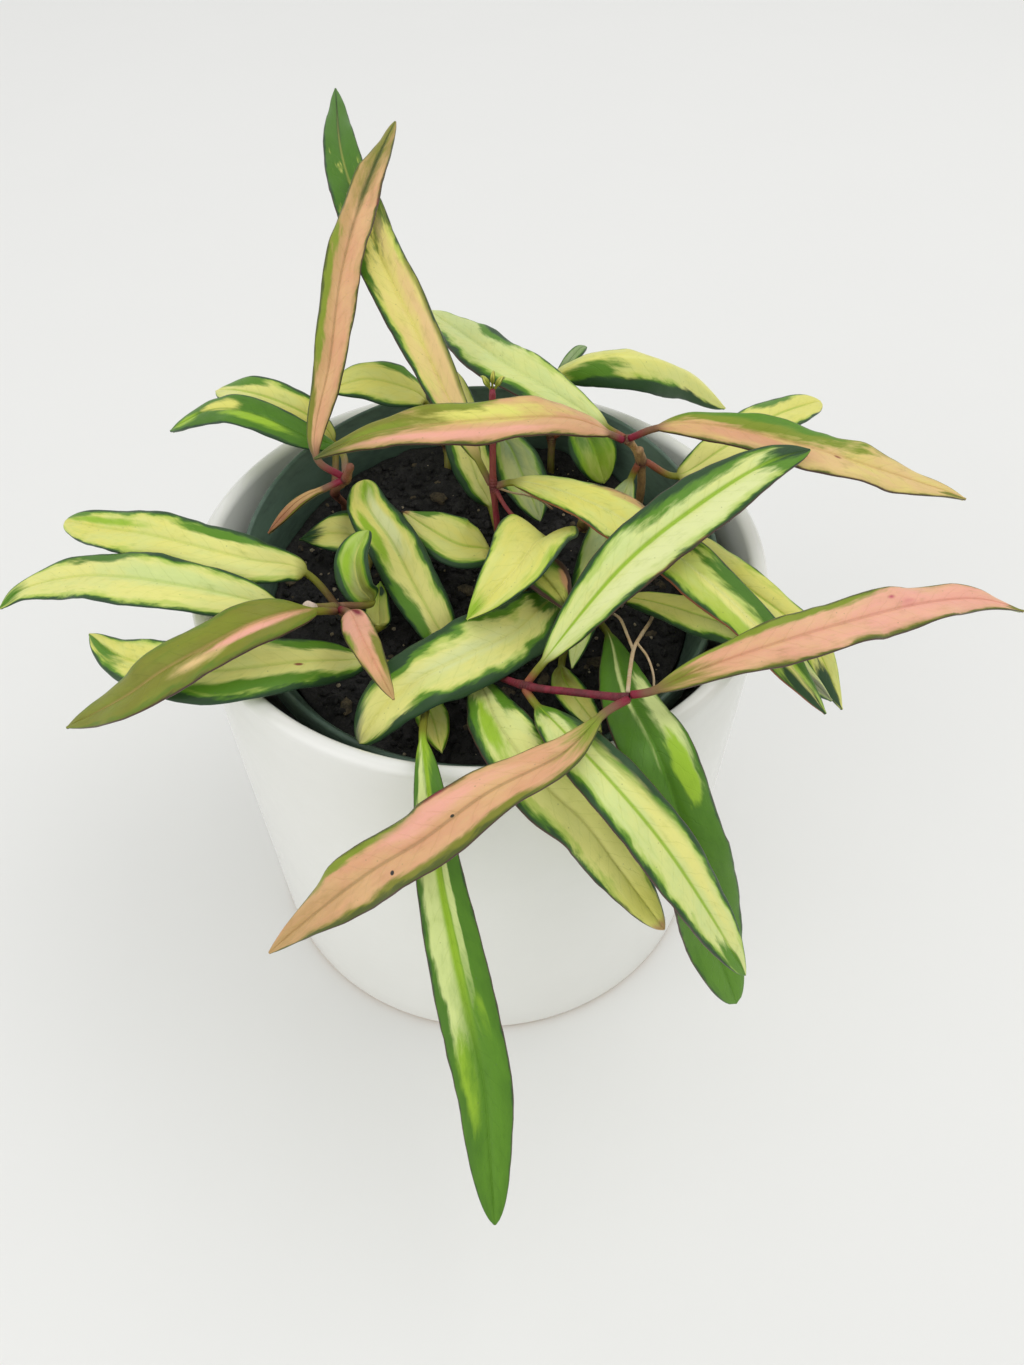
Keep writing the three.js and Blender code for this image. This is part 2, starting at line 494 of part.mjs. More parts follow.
function bladeRings(spec, start, seed) {
  const { spine, width, wave, fold = FOLD, roll = [0, 0] } = spec;
  const { full = FULL, widest = WIDEST, petiole = PETIOLE_RADIUS } = spec;
  const random = seededRandom(seed + 11);
  const places = spine.map((entry) => (entry.isVector3 ? entry : vec(entry)));
  const curve = new THREE.CatmullRomCurve3([start, ...places], false, 'centripetal');
  const bladeStart = 1 / places.length;
  const step = (1 - bladeStart) / SAMPLES;
  const samples = Array.from({ length: SAMPLES + 1 }, (unused, i) => bladeStart + step * i);
  const lengths = [0];
  samples.slice(1).forEach((t, i) => {
    lengths.push(lengths[i] + curve.getPoint(t).distanceTo(curve.getPoint(samples[i])));
  });
  const length = lengths[SAMPLES];
  const parameterAt = (share) => {
    const target = share * length;
    const i = Math.max(1, lengths.findIndex((reached) => reached >= target - 1e-6));
    const between = (target - lengths[i - 1]) / (lengths[i] - lengths[i - 1]);
    return samples[i - 1] + (samples[i] - samples[i - 1]) * between;
  };
  const ripples = Math.max(1, length / RIPPLE_LENGTH);
  const phases = [2 * Math.PI * random(), 2 * Math.PI * random()];
  const skyward = vec([0, -0.35, 0.94]);
  const section = (t, share) => {
    const centre = curve.getPoint(t);
    const along = curve.getTangent(t);
    const turn = THREE.MathUtils.degToRad(roll[0] + (roll[1] - roll[0]) * Math.max(share, 0));
    const up = skyward.clone().addScaledVector(along, -skyward.dot(along)).normalize();
    up.applyAxisAngle(along, turn);
    const side = along.clone().cross(up);
    const blade = THREE.MathUtils.smoothstep(share, -0.02, 0.12);
    const least = petiole * (share > 0.5 ? 0.7 : 1);
    const half = Math.max((width / 2) * outline(Math.max(share, 0), full, widest), least);
    const rise = Math.tan(THREE.MathUtils.degToRad(fold)) * half * blade;
    const strength = wave * blade * Math.sin(Math.PI * THREE.MathUtils.clamp(share, 0, 1)) ** 0.7;
    const middle = (x) => {
      const ripple = Math.sin(2 * Math.PI * ripples * share + phases[x > 0 ? 1 : 0]);
      return rise * Math.abs(x) + strength * ripple * Math.abs(x) ** 1.6;
    };
    const thick = (x) => {
      const round = 2 * petiole * Math.sqrt(1 - 0.85 * x * x);
      const flat = BLADE_MIDDLE + (BLADE_EDGE - BLADE_MIDDLE) * Math.abs(x);
      return round + (flat - round) * blade;
    };
    const point = (x, above) => centre.clone()
      .addScaledVector(side, x * half)
      .addScaledVector(up, middle(x) + (above ? 0.45 : -0.55) * thick(x));
    return [...ACROSS.map((x) => point(x, true)), ...[...ACROSS].reverse().map((x) => point(x, false))];
  };
  const rings = [section(0, -0.2), section(bladeStart * 0.5, -0.1)];
  const stations = spec.stations ?? (length < SHORT_BLADE ? SHORT_STATIONS : BLADE_STATIONS);
  for (const share of stations) rings.push(section(parameterAt(share), share));
  return rings;
}

function nodeShape(name) {
  const grown = [...STEMS, ...Object.values(SHOOTS).flat()].filter(({ path }) => path.includes(name));
  const { path } = grown[0];
  const at = path.indexOf(name);
  const next = place(path[Math.min(at + 1, path.length - 1)]);
  const along = next.sub(place(path[Math.max(at - 1, 0)])).normalize();
  return { along, radius: NODE_SWELL * Math.max(...grown.map(({ radius }) => radius)) };
}

// A petiole's foot is seated beside its node, turned away from the stem
function leaf(spec, seed) {
  const node = place(spec.from);
  const { along, radius } = nodeShape(spec.from);
  const toBlade = vec(spec.spine[0]).sub(node);
  const outward = toBlade.clone().addScaledVector(along, -0.85 * toBlade.dot(along)).normalize();
  const slant = Math.sin(outward.angleTo(toBlade));
  const start = node.addScaledVector(outward, radius + SEAT + PETIOLE_RADIUS * slant);
  return loft(bladeRings(spec, start, seed));
}

// The plant in its pots
const plant = new THREE.Group();
plant.add(mesh('planter', coverPot(), 'glaze'));
const innerPot = new THREE.Group();
innerPot.applyMatrix4(innerPotMatrix);
innerPot.add(mesh('nursery_pot', growingPot(), 'plastic'));
innerPot.add(mesh('soil', pottingMix(), 'mix'));
plant.add(innerPot);
for (const entry of STEMS) plant.add(mesh(entry.name, stem(entry), 'stem'));
LEAVES.forEach((entry, i) => plant.add(mesh(entry.name, leaf(entry, i), entry.finish)));
export default plant;
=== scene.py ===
"""Looks of the potted wax plant: glazed cover pot, growing pot, potting mix, stems and variegated leaves.

Sizes in the tables are millimetres in the frame's own axes: +Z up, the viewer on the -Y side.
"""
import math
import random

import bpy
import numpy as np
from mathutils import Matrix, Vector, noise


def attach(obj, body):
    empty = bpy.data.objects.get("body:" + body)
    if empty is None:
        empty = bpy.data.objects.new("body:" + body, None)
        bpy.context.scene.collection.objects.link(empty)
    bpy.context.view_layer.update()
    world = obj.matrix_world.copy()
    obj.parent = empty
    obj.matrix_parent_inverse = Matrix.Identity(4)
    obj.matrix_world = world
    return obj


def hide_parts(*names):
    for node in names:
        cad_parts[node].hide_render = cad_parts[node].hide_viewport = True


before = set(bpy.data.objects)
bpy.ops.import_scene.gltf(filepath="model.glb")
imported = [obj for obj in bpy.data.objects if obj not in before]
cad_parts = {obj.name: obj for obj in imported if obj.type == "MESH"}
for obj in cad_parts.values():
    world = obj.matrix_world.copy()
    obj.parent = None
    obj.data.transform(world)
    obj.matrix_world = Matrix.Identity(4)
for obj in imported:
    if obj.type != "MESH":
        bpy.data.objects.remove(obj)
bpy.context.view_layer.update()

MM = 0.001
BODY = "root"

# Cover pot: a narrower lip at the top, a rounded foot round a raised underside
POT_HEIGHT, POT_RIM_RADIUS, POT_BASE_RADIUS = 117, 64, 60
POT_WALL, POT_LIP, POT_FLOOR, POT_COVE = 5.5, 4, 6, 20
POT_LIP_BAND, POT_LIP_BEVEL = 11, 3
POT_FOOT_ROUND, POT_FOOT_RAISE, POT_FOOT_START, POT_FOOT_END = 1.8, 0.8, 9, 7
POT_SIDES = 160

# Growing pot, leaning inside the cover pot: its wall stands in by the shoulder below the rim's band
INNER_RIM_RADIUS, INNER_BASE_RADIUS, INNER_HEIGHT = 54, 36.5, 103.9
INNER_WALL, INNER_BAND, INNER_SHOULDER, INNER_FLOOR, INNER_LIP = 1.2, 9, 4.2, 1.5, 0.65
INNER_SIDES = 128
INNER_TILT = math.radians(10)
INNER_RIM_CENTRE = Vector((0, -0.2, 115))
INNER_FRAME = Matrix.Translation(INNER_RIM_CENTRE) @ Matrix.Rotation(INNER_TILT, 4, "X")

# Potting mix
SOIL_DROP = 14
SOIL_RADIUS = 48.5
SOIL_BUMP = 0.9
SOIL_RINGS, SOIL_SIDES = 56, 150
CRUMB_SPREAD = SOIL_RADIUS - 2

# Shoots: the swelling at a node and its reach, the reach of a node's dark scar, how much slimmer a shoot
# is than its solid, how deep its foot stands in the mix, and where the left one was cut back
NODE_SWELL, SWELL_REACH, KNOT_REACH = 1.4, 2, 1.6
SHOOT_SHARE = 0.82
FOOT_DEPTH = 9
CUT_FACE = (-34, -25, 123)

# Leaves: radius of a petiole, thickness of a blade at its edge and midrib, depth of the midrib's keel below
# and groove above, length of a ripple, rings along petiole and blade, and the way that blades face
PETIOLE_RADIUS = 0.8
BLADE_EDGE, BLADE_MIDDLE = 0.75, 1.6
KEEL, GROOVE = 0.35, 0.13
RIPPLE_LENGTH = 24
PETIOLE_RINGS, BLADE_RINGS = 10, 72
SKYWARD = Vector((0, -0.35, 0.94))

# Camera: as far from the plant and as high as the photograph's
CAMERA_AT = Vector((7.2, -185.5, 281.3))
CAMERA_AIM = Vector((7.2, 0, 71.7))
FOCAL_PIXELS, FRAME_HEIGHT, SENSOR = 1100, 1365, 36

# Studio, in metres and watts
FLOOR_REACH = 4.0
SKY_COLOUR, SKY_STRENGTH = (0.99, 0.992, 1.0, 1), 0.8
LIGHT_AIM = Vector((0, 0, 0.1))
LIGHTS = [
    dict(name="window", place=(0.7, 0.1, 1.5), size=1.2, power=6),
    dict(name="fill", place=(-1.0, -0.9, 0.95), size=1.4, power=5.5),
]

# Colours as red, green and blue, 0 to 255
PALETTE = {
    "cream": (228, 225, 134), "straw": (222, 218, 112), "mint": (206, 219, 142), "milk": (220, 226, 160),
    "lime": (152, 188, 48), "leaf": (90, 136, 34), "deep": (44, 74, 40), "teal": (46, 70, 50),
    "olive": (126, 128, 42), "lime_olive": (130, 146, 42), "moss": (84, 94, 40), "salmon": (216, 162, 122),
    "pink": (236, 172, 150), "peach": (224, 192, 132), "tan": (190, 154, 100), "plum": (78, 54, 50),
    "grey": (124, 130, 100), "magenta": (190, 80, 104), "crimson": (134, 38, 58), "bark": (126, 92, 68),
    "maroon": (84, 36, 40), "root": (206, 184, 152), "rust": (146, 84, 62), "fern": (74, 118, 28),
    "sage": (150, 170, 120), "glaze": (233, 233, 227), "glaze_shade": (226, 226, 219),
    # clay and tan also tint the painted shadow line round the cover pot's foot
    "clay": (206, 186, 160), "cut_wood": (226, 204, 188), "pot_green": (84, 108, 92),
    "pot_dark": (58, 76, 66), "loam": (52, 50, 48), "loam_dark": (28, 28, 28), "bark_chip": (116, 102, 74),
    "grit": (206, 194, 166), "grit_shade": (150, 136, 112), "paper": (234, 234, 231),
    "paper_shade": (231, 231, 228),
}

# Places where shoots fork and petioles start
NODE = {
    "centreLow": (5, 10, 106), "centre": (3, 12, 125), "leftBackLow": (-35, 22, 115),
    "leftBack": (-30, 12, 127), "right": (37, 21, 125), "rightBranch": (33, 20, 132),
    "front": (10, -41, 117), "frontEnd": (29, -52, 126), "left": (-30, -20, 118),
    "leftLow": (-29, -13, 107), "crownFront": (-10, -24, 102), "crownMiddle": (11, 2, 106),
    "crownRight": (23, -5, 105), "crownInner": (24, 18, 108), "crownLemon": (44, 17, 110),
    "crownBack": (17, 43, 116), "crownBackLeft": (-9, 42, 114),
}


def stem_row(name, foot, radius, path, low="bark", high="olive"):
    """A stem's foot in the mix, its radius, the places it runs through, and its colours low and high."""
    return dict(name=name, foot=foot, radius=radius, path=path, low=low, high=high)


STEMS = [
    stem_row("stem_centre", (6, 9), 0.9, ["centreLow", "centre", (3, 14, 136), (3, 17, 147)], "rust",
             "crimson"),
    stem_row("stem_left_back", (-34, 27), 1.1, ["leftBackLow", "leftBack", (-28, 9, 133)], high="rust"),
    stem_row("stem_right", (38, 25), 1.2, [(38, 23, 115), "right", (36, 19, 130)], high="tan"),
    stem_row("stem_front", (-1, -16), 0.95, [(1, -26, 106), "front", (19, -47, 122), "frontEnd"], "maroon",
             "crimson"),
    stem_row("stem_left", (-29, -10), 1.1, ["leftLow", "left", CUT_FACE]),
    stem_row("crown_front", (-10, -22), 1.2, ["crownFront", (-10, -25, 105)]),
    stem_row("crown_middle", (10, 2), 1.2, ["crownMiddle", (11, 2, 109)]),
    stem_row("crown_right", (22, -4), 1.2, ["crownRight", (23, -6, 107)]),
    stem_row("crown_inner", (25, 20), 1.1, ["crownInner", (24, 17, 111)]),
    stem_row("crown_lemon", (42, 17), 1.1, ["crownLemon", (45, 18, 113)]),
    stem_row("crown_back", (17, 40), 1.1, ["crownBack", (16, 43, 118.5)]),
    stem_row("crown_back_left", (-9, 39), 1.1, ["crownBackLeft", (-9, 43, 117)]),
]
# Side shoots, by the stem that they grow from
SHOOTS = {
    "stem_right": [dict(radius=1.0, path=["right", (35, 21, 129), "rightBranch"])],
    "stem_centre": [dict(radius=0.6, path=["centre", (6, 9, 121), (10, 7, 117)])],
}
# Dry aerial roots of the runner, and a short one of the middle stem
ROOTS = [
    dict(radius=0.5, path=[(29, -49.5, 125), (30.5, -39.8, 121), (32.1, -31.6, 118), (34.5, -24.7, 115),
                           (37.2, -17.2, 111), (39, -10, 106.5)]),
    dict(radius=0.4, path=[(31.9, -32.6, 118.2), (31.2, -25.7, 116), (30.5, -18.3, 113), (29, -10, 107)]),
    dict(radius=0.32, path=[(33, -29.5, 117.2), (35.2, -31.6, 115), (36.2, -36.4, 113), (35, -40, 108.5)]),
    dict(radius=0.32, path=["centre", (7, 12.8, 122.5), (10.5, 15, 120), (13.8, 18.1, 116), (17, 22, 110)]),
]

# What leaves have in common, unless a leaf's own row says otherwise.
# Shape. wave: height of the ripples. fold: rise of each half in degrees. roll: turn about the midrib in
# degrees, at the base and the tip. widest: where along the blade. full: how blunt the outline is, 0 to 1.
# point: how much slimmer the tip grows than that. thin: share of the usual thickness. petiole: its radius.
# Looks. change: where the pale colour of the base turns into that of the tip. ragged: how uneven the
# margins' borders are. rib_strength, rib_reach, rib_width: how clear, how long and how broad the midrib's
# colour is. added: the leaf has no solid in the frame.
COMMON = dict(wave=0.5, fold=9, roll=(0, 0), full=0.2, widest=0.45, point=0, thin=1, petiole=PETIOLE_RADIUS,
              change=0.5, ragged=0.23, rib_strength=0.5, rib_reach=0.9, rib_width=0.09, patches=(),
              added=False)
# The kinds of leaf. second: the tone that drifts over the pale ground. fringe and fringe_share: colour and
# strength of the streaks outside the margins. inner, dark, edge: the margins from inside out. rib: midrib.
# stalk: the petiole's colours at its foot and neck.
KINDS = {
    "blush": dict(second="peach", fringe="olive", fringe_share=0.3, inner="olive", dark="moss", edge="plum",
                  rib="tan", stalk=("crimson", "bark")),
    "cream": dict(second="mint", fringe="lime", fringe_share=0.55, inner="leaf", dark="deep", edge="teal",
                  rib="lime", stalk=("bark", "olive")),
    "mint": dict(second="cream", fringe="lime", fringe_share=0.55, inner="leaf", dark="deep", edge="teal",
                 rib="lime", stalk=("rust", "olive")),
    "green": dict(second="leaf", fringe="fern", fringe_share=0.6, inner="fern", dark="deep", edge="plum",
                  rib="lime", stalk=("bark", "olive")),
}


def leaf_row(name, node, kind, width, **own):
    """A leaf's row: the node it grows from, its kind, the blade's greatest width and what it alone has."""
    return COMMON | KINDS[kind] | dict(name=name, node=node, kind=kind, width=width) | own


# spine: the blade's base, places along its midrib, and its tip. pale: the ground's colour at the base and
# the tip. margin: the dark share of the half width on the left and right, seen from base to tip. patches:
# colour, place along and across, reach along and across and, unless PATCH_SOFTNESS fits, softness; across
# runs from -1 at the left margin to 1. foot: where the petiole starts, if not at the node.
PATCH_SOFTNESS = 0.25
LEAVES = [
    leaf_row("back_upright_blush", "leftBack", "blush", width=8.6, wave=1.0, full=0.5, widest=0.5,
             point=0.3,
             spine=[(-36, 13, 132), (-33, 30, 146), (-31, 46, 157), (-27, 66, 166), (-21, 92, 172)],
             pale=("salmon", "salmon"), change=0.25, margin=(0.18, 0.08), rib="moss", rib_strength=0.25,
             patches=[("tan", 0.5, -0.5, 0.55, 0.5, 0.9), ("lime_olive", 0.4, -0.8, 0.2, 0.4),
                      ("olive", 1.0, -0.1, 0.3, 1.2, 0.7), ("moss", 0.85, 0.05, 0.25, 0.2, 0.9),
                      ("crimson", 0.72, 1.0, 0.12, 0.12, 0.6), ("olive", 0.06, -0.7, 0.14, 0.4)]),
    leaf_row("back_upright_tall", "centre", "cream", width=11.5, wave=0.8,
             spine=[(0, 15, 129), (-8, 28, 139), (-15, 40, 148), (-23, 55, 156), (-33, 82, 166),
                    (-38, 115, 171)],
             pale=("peach", "straw"), change=0.35, second="straw", margin=(0.15, 0.1), edge="plum",
             rib="straw", rib_strength=0.3,
             patches=[("fern", 1.02, 0, 0.48, 2.4, 0.1), ("fern", 0.5, -0.85, 0.12, 0.3),
                      ("olive", 0.25, 0.9, 0.3, 0.2, 0.7), ("peach", 0.3, 0.45, 0.24, 0.3, 0.8),
                      ("deep", 0.95, 0, 0.3, 0.1, 0.8)]),
    leaf_row("right_under", "centre", "cream", width=11.5, wave=0.8,
             spine=[(7, 12, 126), (16, 7, 128), (31, -5, 129), (50, -26, 127), (61, -39, 122),
                    (70, -44, 112)],
             pale=("straw", "lime"), change=0.6, margin=(0.14, 0.12), edge="rust", rib="milk",
             rib_strength=0.35,
             patches=[("tan", 0.34, -0.95, 0.12, 0.25, 0.5), ("fern", 0.46, -0.75, 0.07, 0.45),
                      ("fern", 0.78, -0.8, 0.24, 0.6), ("deep", 0.98, 0.5, 0.16, 0.7),
                      ("cream", 0.75, 0.1, 0.2, 0.25, 0.5)]),
    leaf_row("centre_broad", "front", "mint", width=13.5, full=0.1, widest=0.52,
             spine=[(13, -39, 121), (29, -24, 133), (44, -12, 138), (60, 0, 140), (70, 5, 140)],
             pale=("mint", "mint"), margin=(0.2, 0.12), edge="plum", rib_strength=0.95, rib_width=0.11,
             patches=[("leaf", 0.64, -0.88, 0.3, 0.5), ("deep", 0.66, -1.0, 0.27, 0.34),
                      ("milk", 0.5, 0.45, 0.45, 0.35, 0.7), ("leaf", 0.97, 0.3, 0.13, 1.0),
                      ("deep", 0.99, -0.3, 0.1, 0.8), ("rust", 0.55, 1.0, 0.3, 0.08, 0.6)]),
    leaf_row("right_blush", "frontEnd", "blush", width=9.8, wave=1.2, full=0.1, widest=0.47, point=0.45,
             spine=[(33, -52, 128), (41, -50, 131), (51, -47, 133), (68, -41, 134), (88, -32, 131),
                    (101, -27, 127), (112, -25, 122)],
             pale=("salmon", "pink"), change=0.3, margin=(0.1, 0.12), rib="rust", rib_strength=0.2,
             patches=[("olive", 0.0, 0, 0.14, 1.4, 0.6), ("lime_olive", 0.3, -0.95, 0.34, 0.36),
                      ("magenta", 0.635, -0.15, 0.026, 0.2, 0.8), ("magenta", 0.59, -0.5, 0.012, 0.1, 0.8),
                      ("pink", 0.75, 0, 0.25, 0.6, 0.9), ("olive", 0.99, 0, 0.05, 1)]),
    leaf_row("front_blush", "frontEnd", "blush", width=11.4, wave=1.0, full=0.1, widest=0.58, point=0.5,
             spine=[(24, -58, 129), (16, -69, 131), (3, -76, 129), (-8, -80, 121), (-18, -81, 112),
                    (-29, -83, 101), (-39, -85, 90)],
             pale=("salmon", "salmon"), margin=(0.2, 0.08), rib="moss", rib_strength=0.3,
             patches=[("lime_olive", 0.0, 0, 0.14, 1.4, 0.6),
                      ("lime_olive", 0.68, 0.98, 0.16, 0.42), ("olive", 0.46, -1.0, 0.32, 0.36),
                      ("pink", 0.45, 0.5, 0.16, 0.3, 0.9), ("tan", 0.95, 0, 0.22, 1.2, 0.9),
                      ("crimson", 0.4, 1.0, 0.07, 0.12, 0.7), ("loam", 0.41, 0.05, 0.005, 0.05),
                      ("loam", 0.58, -0.45, 0.005, 0.07)]),
    leaf_row("front_right_upper", "front", "mint", width=11.5, full=0.25, widest=0.5,
             spine=[(12, -47, 118), (17, -60, 125), (26, -72, 124), (34, -77, 115), (43, -81, 100),
                    (53, -85, 81)],
             pale=("mint", "mint"), margin=(0.2, 0.2), edge="plum", rib_strength=0.85,
             patches=[("leaf", 0.28, -0.85, 0.26, 0.5), ("deep", 0.28, -0.97, 0.24, 0.34),
                      ("leaf", 0.97, 0.3, 0.12, 0.5), ("cream", 0.6, -0.4, 0.3, 0.3, 0.8),
                      ("leaf", 0.03, -0.1, 0.08, 0.9)]),
    leaf_row("front_right_green", "crownRight", "green", width=15, full=0.3, widest=0.6,
             spine=[(28, -16, 107), (30, -44, 117), (34, -60, 120), (40, -69, 106), (45, -73, 92),
                    (49, -76, 76), (55, -81, 60)],
             pale=("fern", "leaf"), change=0.7, margin=(0.07, 0.07), rib="leaf",
             patches=[("mint", 0.12, 0.1, 0.24, 0.12, 0.5), ("mint", 0.34, -0.6, 0.14, 0.3, 0.4),
                      ("lime", 0.45, -0.5, 0.07, 0.26)]),
    leaf_row("front_cream", "crownFront", "cream", width=13, wave=0.7, full=0.35, widest=0.5,
             spine=[(-1, -30, 106), (5, -52, 117), (13, -66, 118), (21, -68, 108), (27, -70, 98),
                    (33, -73, 89), (38, -75, 81)],
             pale=("mint", "cream"), change=0.4, second="cream", margin=(0.24, 0.18), edge="plum",
             rib="olive", rib_strength=0.2,
             patches=[("lime", 0.28, 0.35, 0.14, 0.3, 0.5), ("leaf", 0.12, -0.7, 0.16, 0.4),
                      ("leaf", 0.2, 0.8, 0.1, 0.3), ("leaf", 0.5, -0.85, 0.12, 0.3),
                      ("straw", 0.94, 0, 0.12, 1.4, 0.7), ("tan", 1.0, 0, 0.04, 1.4, 0.5)]),
    leaf_row("centre_cream", "crownRight", "cream", width=16, wave=0.8, full=0.7,
             spine=[(17, -8, 109), (8, -23, 114), (-2, -33, 117), (-12, -41, 118), (-18, -45, 115),
                    (-23, -50, 110)],
             pale=("cream", "cream"), margin=(0.34, 0.46), rib="straw", rib_strength=0.3,
             patches=[("leaf", 0.03, 0.3, 0.1, 0.9), ("leaf", 0.25, 0.75, 0.14, 0.3),
                      ("milk", 0.55, 0.05, 0.25, 0.25, 0.9), ("grey", 0.97, 0.4, 0.09, 0.7, 0.7),
                      ("cream", 0.88, -0.1, 0.12, 0.75, 0.4)]),
    leaf_row("inner_left", "crownFront", "mint", width=12, full=0.8,
             spine=[(-7, -18, 103), (-10, -14, 108), (-15, -6, 112), (-20, 3, 116), (-26, 13, 118),
                    (-28, 24, 117)],
             pale=("cream", "straw"), margin=(0.22, 0.3), rib_strength=0.35,
             patches=[("lime", 0.6, -0.5, 0.16, 0.2, 0.4), ("leaf", 0.22, -0.7, 0.14, 0.35),
                      ("lime", 0.9, 0.1, 0.12, 0.5, 0.5), ("milk", 0.65, 0.2, 0.25, 0.25, 0.7)]),
    leaf_row("cross_blush", "rightBranch", "blush", width=10.5, wave=0.9, point=0.3,
             spine=[(29, 19, 134), (19, 13, 142), (5, 7, 146), (-9, 5, 146), (-23, 7, 142),
                    (-35, 6, 137)],
             pale=("salmon", "salmon"), change=0.4, margin=(0.08, 0.08), rib_strength=0.35,
             patches=[("straw", 0.5, 0.3, 0.26, 0.5, 0.8), ("lime_olive", 0.56, 0.88, 0.14, 0.42),
                      ("olive", 1.02, 0.35, 0.44, 1.35, 0.35), ("lime_olive", 0.78, 0.1, 0.12, 0.35, 0.8),
                      ("pink", 0.6, -0.62, 0.3, 0.22, 0.7), ("moss", 1.0, 0, 0.1, 1.4, 0.7)]),
    leaf_row("right_back_blush", "rightBranch", "blush", width=10.5, wave=0.9, point=0.3,
             spine=[(39, 17, 137), (47, 14, 140), (69, 9, 138), (86, 9, 132), (110, 11, 122)],
             pale=("salmon", "peach"), change=0.3, second="straw", margin=(0.1, 0.08), rib_strength=0.25,
             patches=[("lime_olive", 0.3, -0.65, 0.32, 0.55),
                      ("leaf", 0.3, -0.85, 0.26, 0.35, 0.5), ("salmon", 0.25, 0.35, 0.22, 0.35, 0.8),
                      ("rust", 0.53, 0.1, 0.012, 0.09, 0.8), ("tan", 0.97, 0.5, 0.08, 0.4, 0.5),
                      ("olive", 0.95, 0.5, 0.06, 0.4)]),
    leaf_row("left_small_folded", "leftBack", "blush", width=2.6, wave=0.2,
             spine=[(-35, 11, 125), (-41, 10, 122), (-48, 5, 117)],
             pale=("tan", "rust"), second="tan", margin=(0.2, 0.2), fringe="tan", inner="rust",
             dark="olive", rib="rust"),
    leaf_row("left_small_blush", "left", "blush", width=6.5, full=0.5, widest=0.35,
             spine=[(-26.5, -24, 120.5), (-22, -36.5, 125.5), (-18, -46, 127), (-15, -51, 124.5)],
             pale=("pink", "salmon"), second="salmon", margin=(0.12, 0.12), rib="pink", rib_strength=0.2,
             patches=[("olive", 0.72, -0.75, 0.28, 0.35, 0.4),
                      ("lime_olive", 0.45, 0.9, 0.16, 0.35, 0.4), ("crimson", 0.1, -0.5, 0.1, 0.3, 0.7),
                      ("tan", 0.97, 0, 0.14, 1.2, 0.6)]),
    leaf_row("left_olive", "left", "green", width=10.5, wave=0.6, point=0.2,
             spine=[(-32, -30, 127), (-36, -37, 133), (-42, -41, 134), (-50, -45, 132),
                    (-58, -47, 128), (-66, -48, 122), (-75, -47, 115), (-82, -46, 110)],
             pale=("olive", "olive"), second="lime_olive", margin=(0.07, 0.07), inner="olive", dark="moss",
             rib="tan", rib_strength=0.4,
             patches=[("salmon", 0.22, -0.2, 0.2, 0.22, 0.7),
                      ("pink", 0.3, -0.3, 0.14, 0.14, 0.8), ("peach", 0.44, -0.4, 0.08, 0.22, 0.7)]),
    leaf_row("left_upper", "leftLow", "cream", width=12, wave=0.6, full=0.8,
             spine=[(-38, -8, 117), (-48, -12, 124), (-59, -10, 126), (-71, -5, 125), (-84, 2, 121),
                    (-95, 9, 117)],
             pale=("cream", "straw"), margin=(0.1, 0.24), rib_strength=0.2,
             patches=[("leaf", 0.33, 0.65, 0.14, 0.2), ("lime", 0.8, 0.3, 0.2, 0.2, 0.6),
                      ("leaf", 0.95, 0.75, 0.1, 0.35, 0.4)]),
    leaf_row("left_middle", "left", "cream", width=12.5, wave=0.6,
             spine=[(-40, -18, 115), (-45, -21, 120), (-53, -22, 124), (-64, -20, 125),
                    (-76, -15, 122), (-90, -9, 116), (-103, -7, 110), (-108, -9, 107)],
             pale=("cream", "cream"), margin=(0.1, 0.18), rib_strength=0.2,
             patches=[("fern", 0.62, 0.85, 0.13, 0.38), ("mint", 0.35, 0.2, 0.25, 0.4, 0.8),
                      ("leaf", 0.97, 0, 0.07, 0.9, 0.6)]),
    leaf_row("left_lower", "crownFront", "cream", width=13.5, wave=0.6,
             spine=[(-23, -25, 107), (-28, -29, 111), (-36, -35, 117), (-44, -40, 121),
                    (-52, -42, 122), (-63, -38, 119), (-74, -31, 115), (-83, -22, 112)],
             pale=("cream", "straw"), margin=(0.3, 0.18), rib_strength=0.25,
             patches=[("leaf", 0.15, 0.75, 0.2, 0.3), ("leaf", 0.4, -0.6, 0.2, 0.2, 0.4),
                      ("rust", 0.26, -0.1, 0.012, 0.07, 0.6), ("leaf", 0.92, -0.3, 0.14, 0.4, 0.5)]),
    leaf_row("left_back_green", "leftBack", "green", width=8.5,
             spine=[(-33, 25, 125), (-39, 24, 129), (-52, 29, 132), (-63, 35, 129), (-77, 41, 119)],
             pale=("fern", "fern"), margin=(0.1, 0.16), edge="teal", rib="leaf",
             patches=[("straw", 0.62, 0.2, 0.12, 0.35, 0.4), ("lime", 0.86, -0.1, 0.1, 0.5, 0.4),
                      ("lime", 0.4, -0.3, 0.16, 0.3, 0.5)]),
    leaf_row("left_back_pale", "leftBackLow", "cream", width=11,
             spine=[(-36, 34, 121), (-40, 33, 128), (-47, 35, 131), (-57, 41, 130), (-66, 49, 125)],
             pale=("straw", "cream"), margin=(0.14, 0.24),
             patches=[("leaf", 0.75, 0.6, 0.2, 0.35)]),
    leaf_row("left_back", "crownBackLeft", "cream", width=12, wave=0.6,
             spine=[(-14, 42, 127), (-19, 40, 132), (-27, 40, 134), (-36, 39, 132)],
             pale=("straw", "straw"), margin=(0.16, 0.16), rib_strength=0.25,
             patches=[("leaf", 0.3, 0.8, 0.25, 0.3)]),
    leaf_row("back_mint", "rightBranch", "mint", width=13, wave=0.6,
             spine=[(29, 24, 132), (16, 31, 137), (5, 41, 138), (-4, 57, 135), (-15, 80, 129)],
             pale=("mint", "mint"), margin=(0.24, 0.08), edge="plum", rib="mint",
             patches=[("leaf", 0.55, 0.85, 0.14, 0.35), ("deep", 0.55, 0.98, 0.11, 0.22)]),
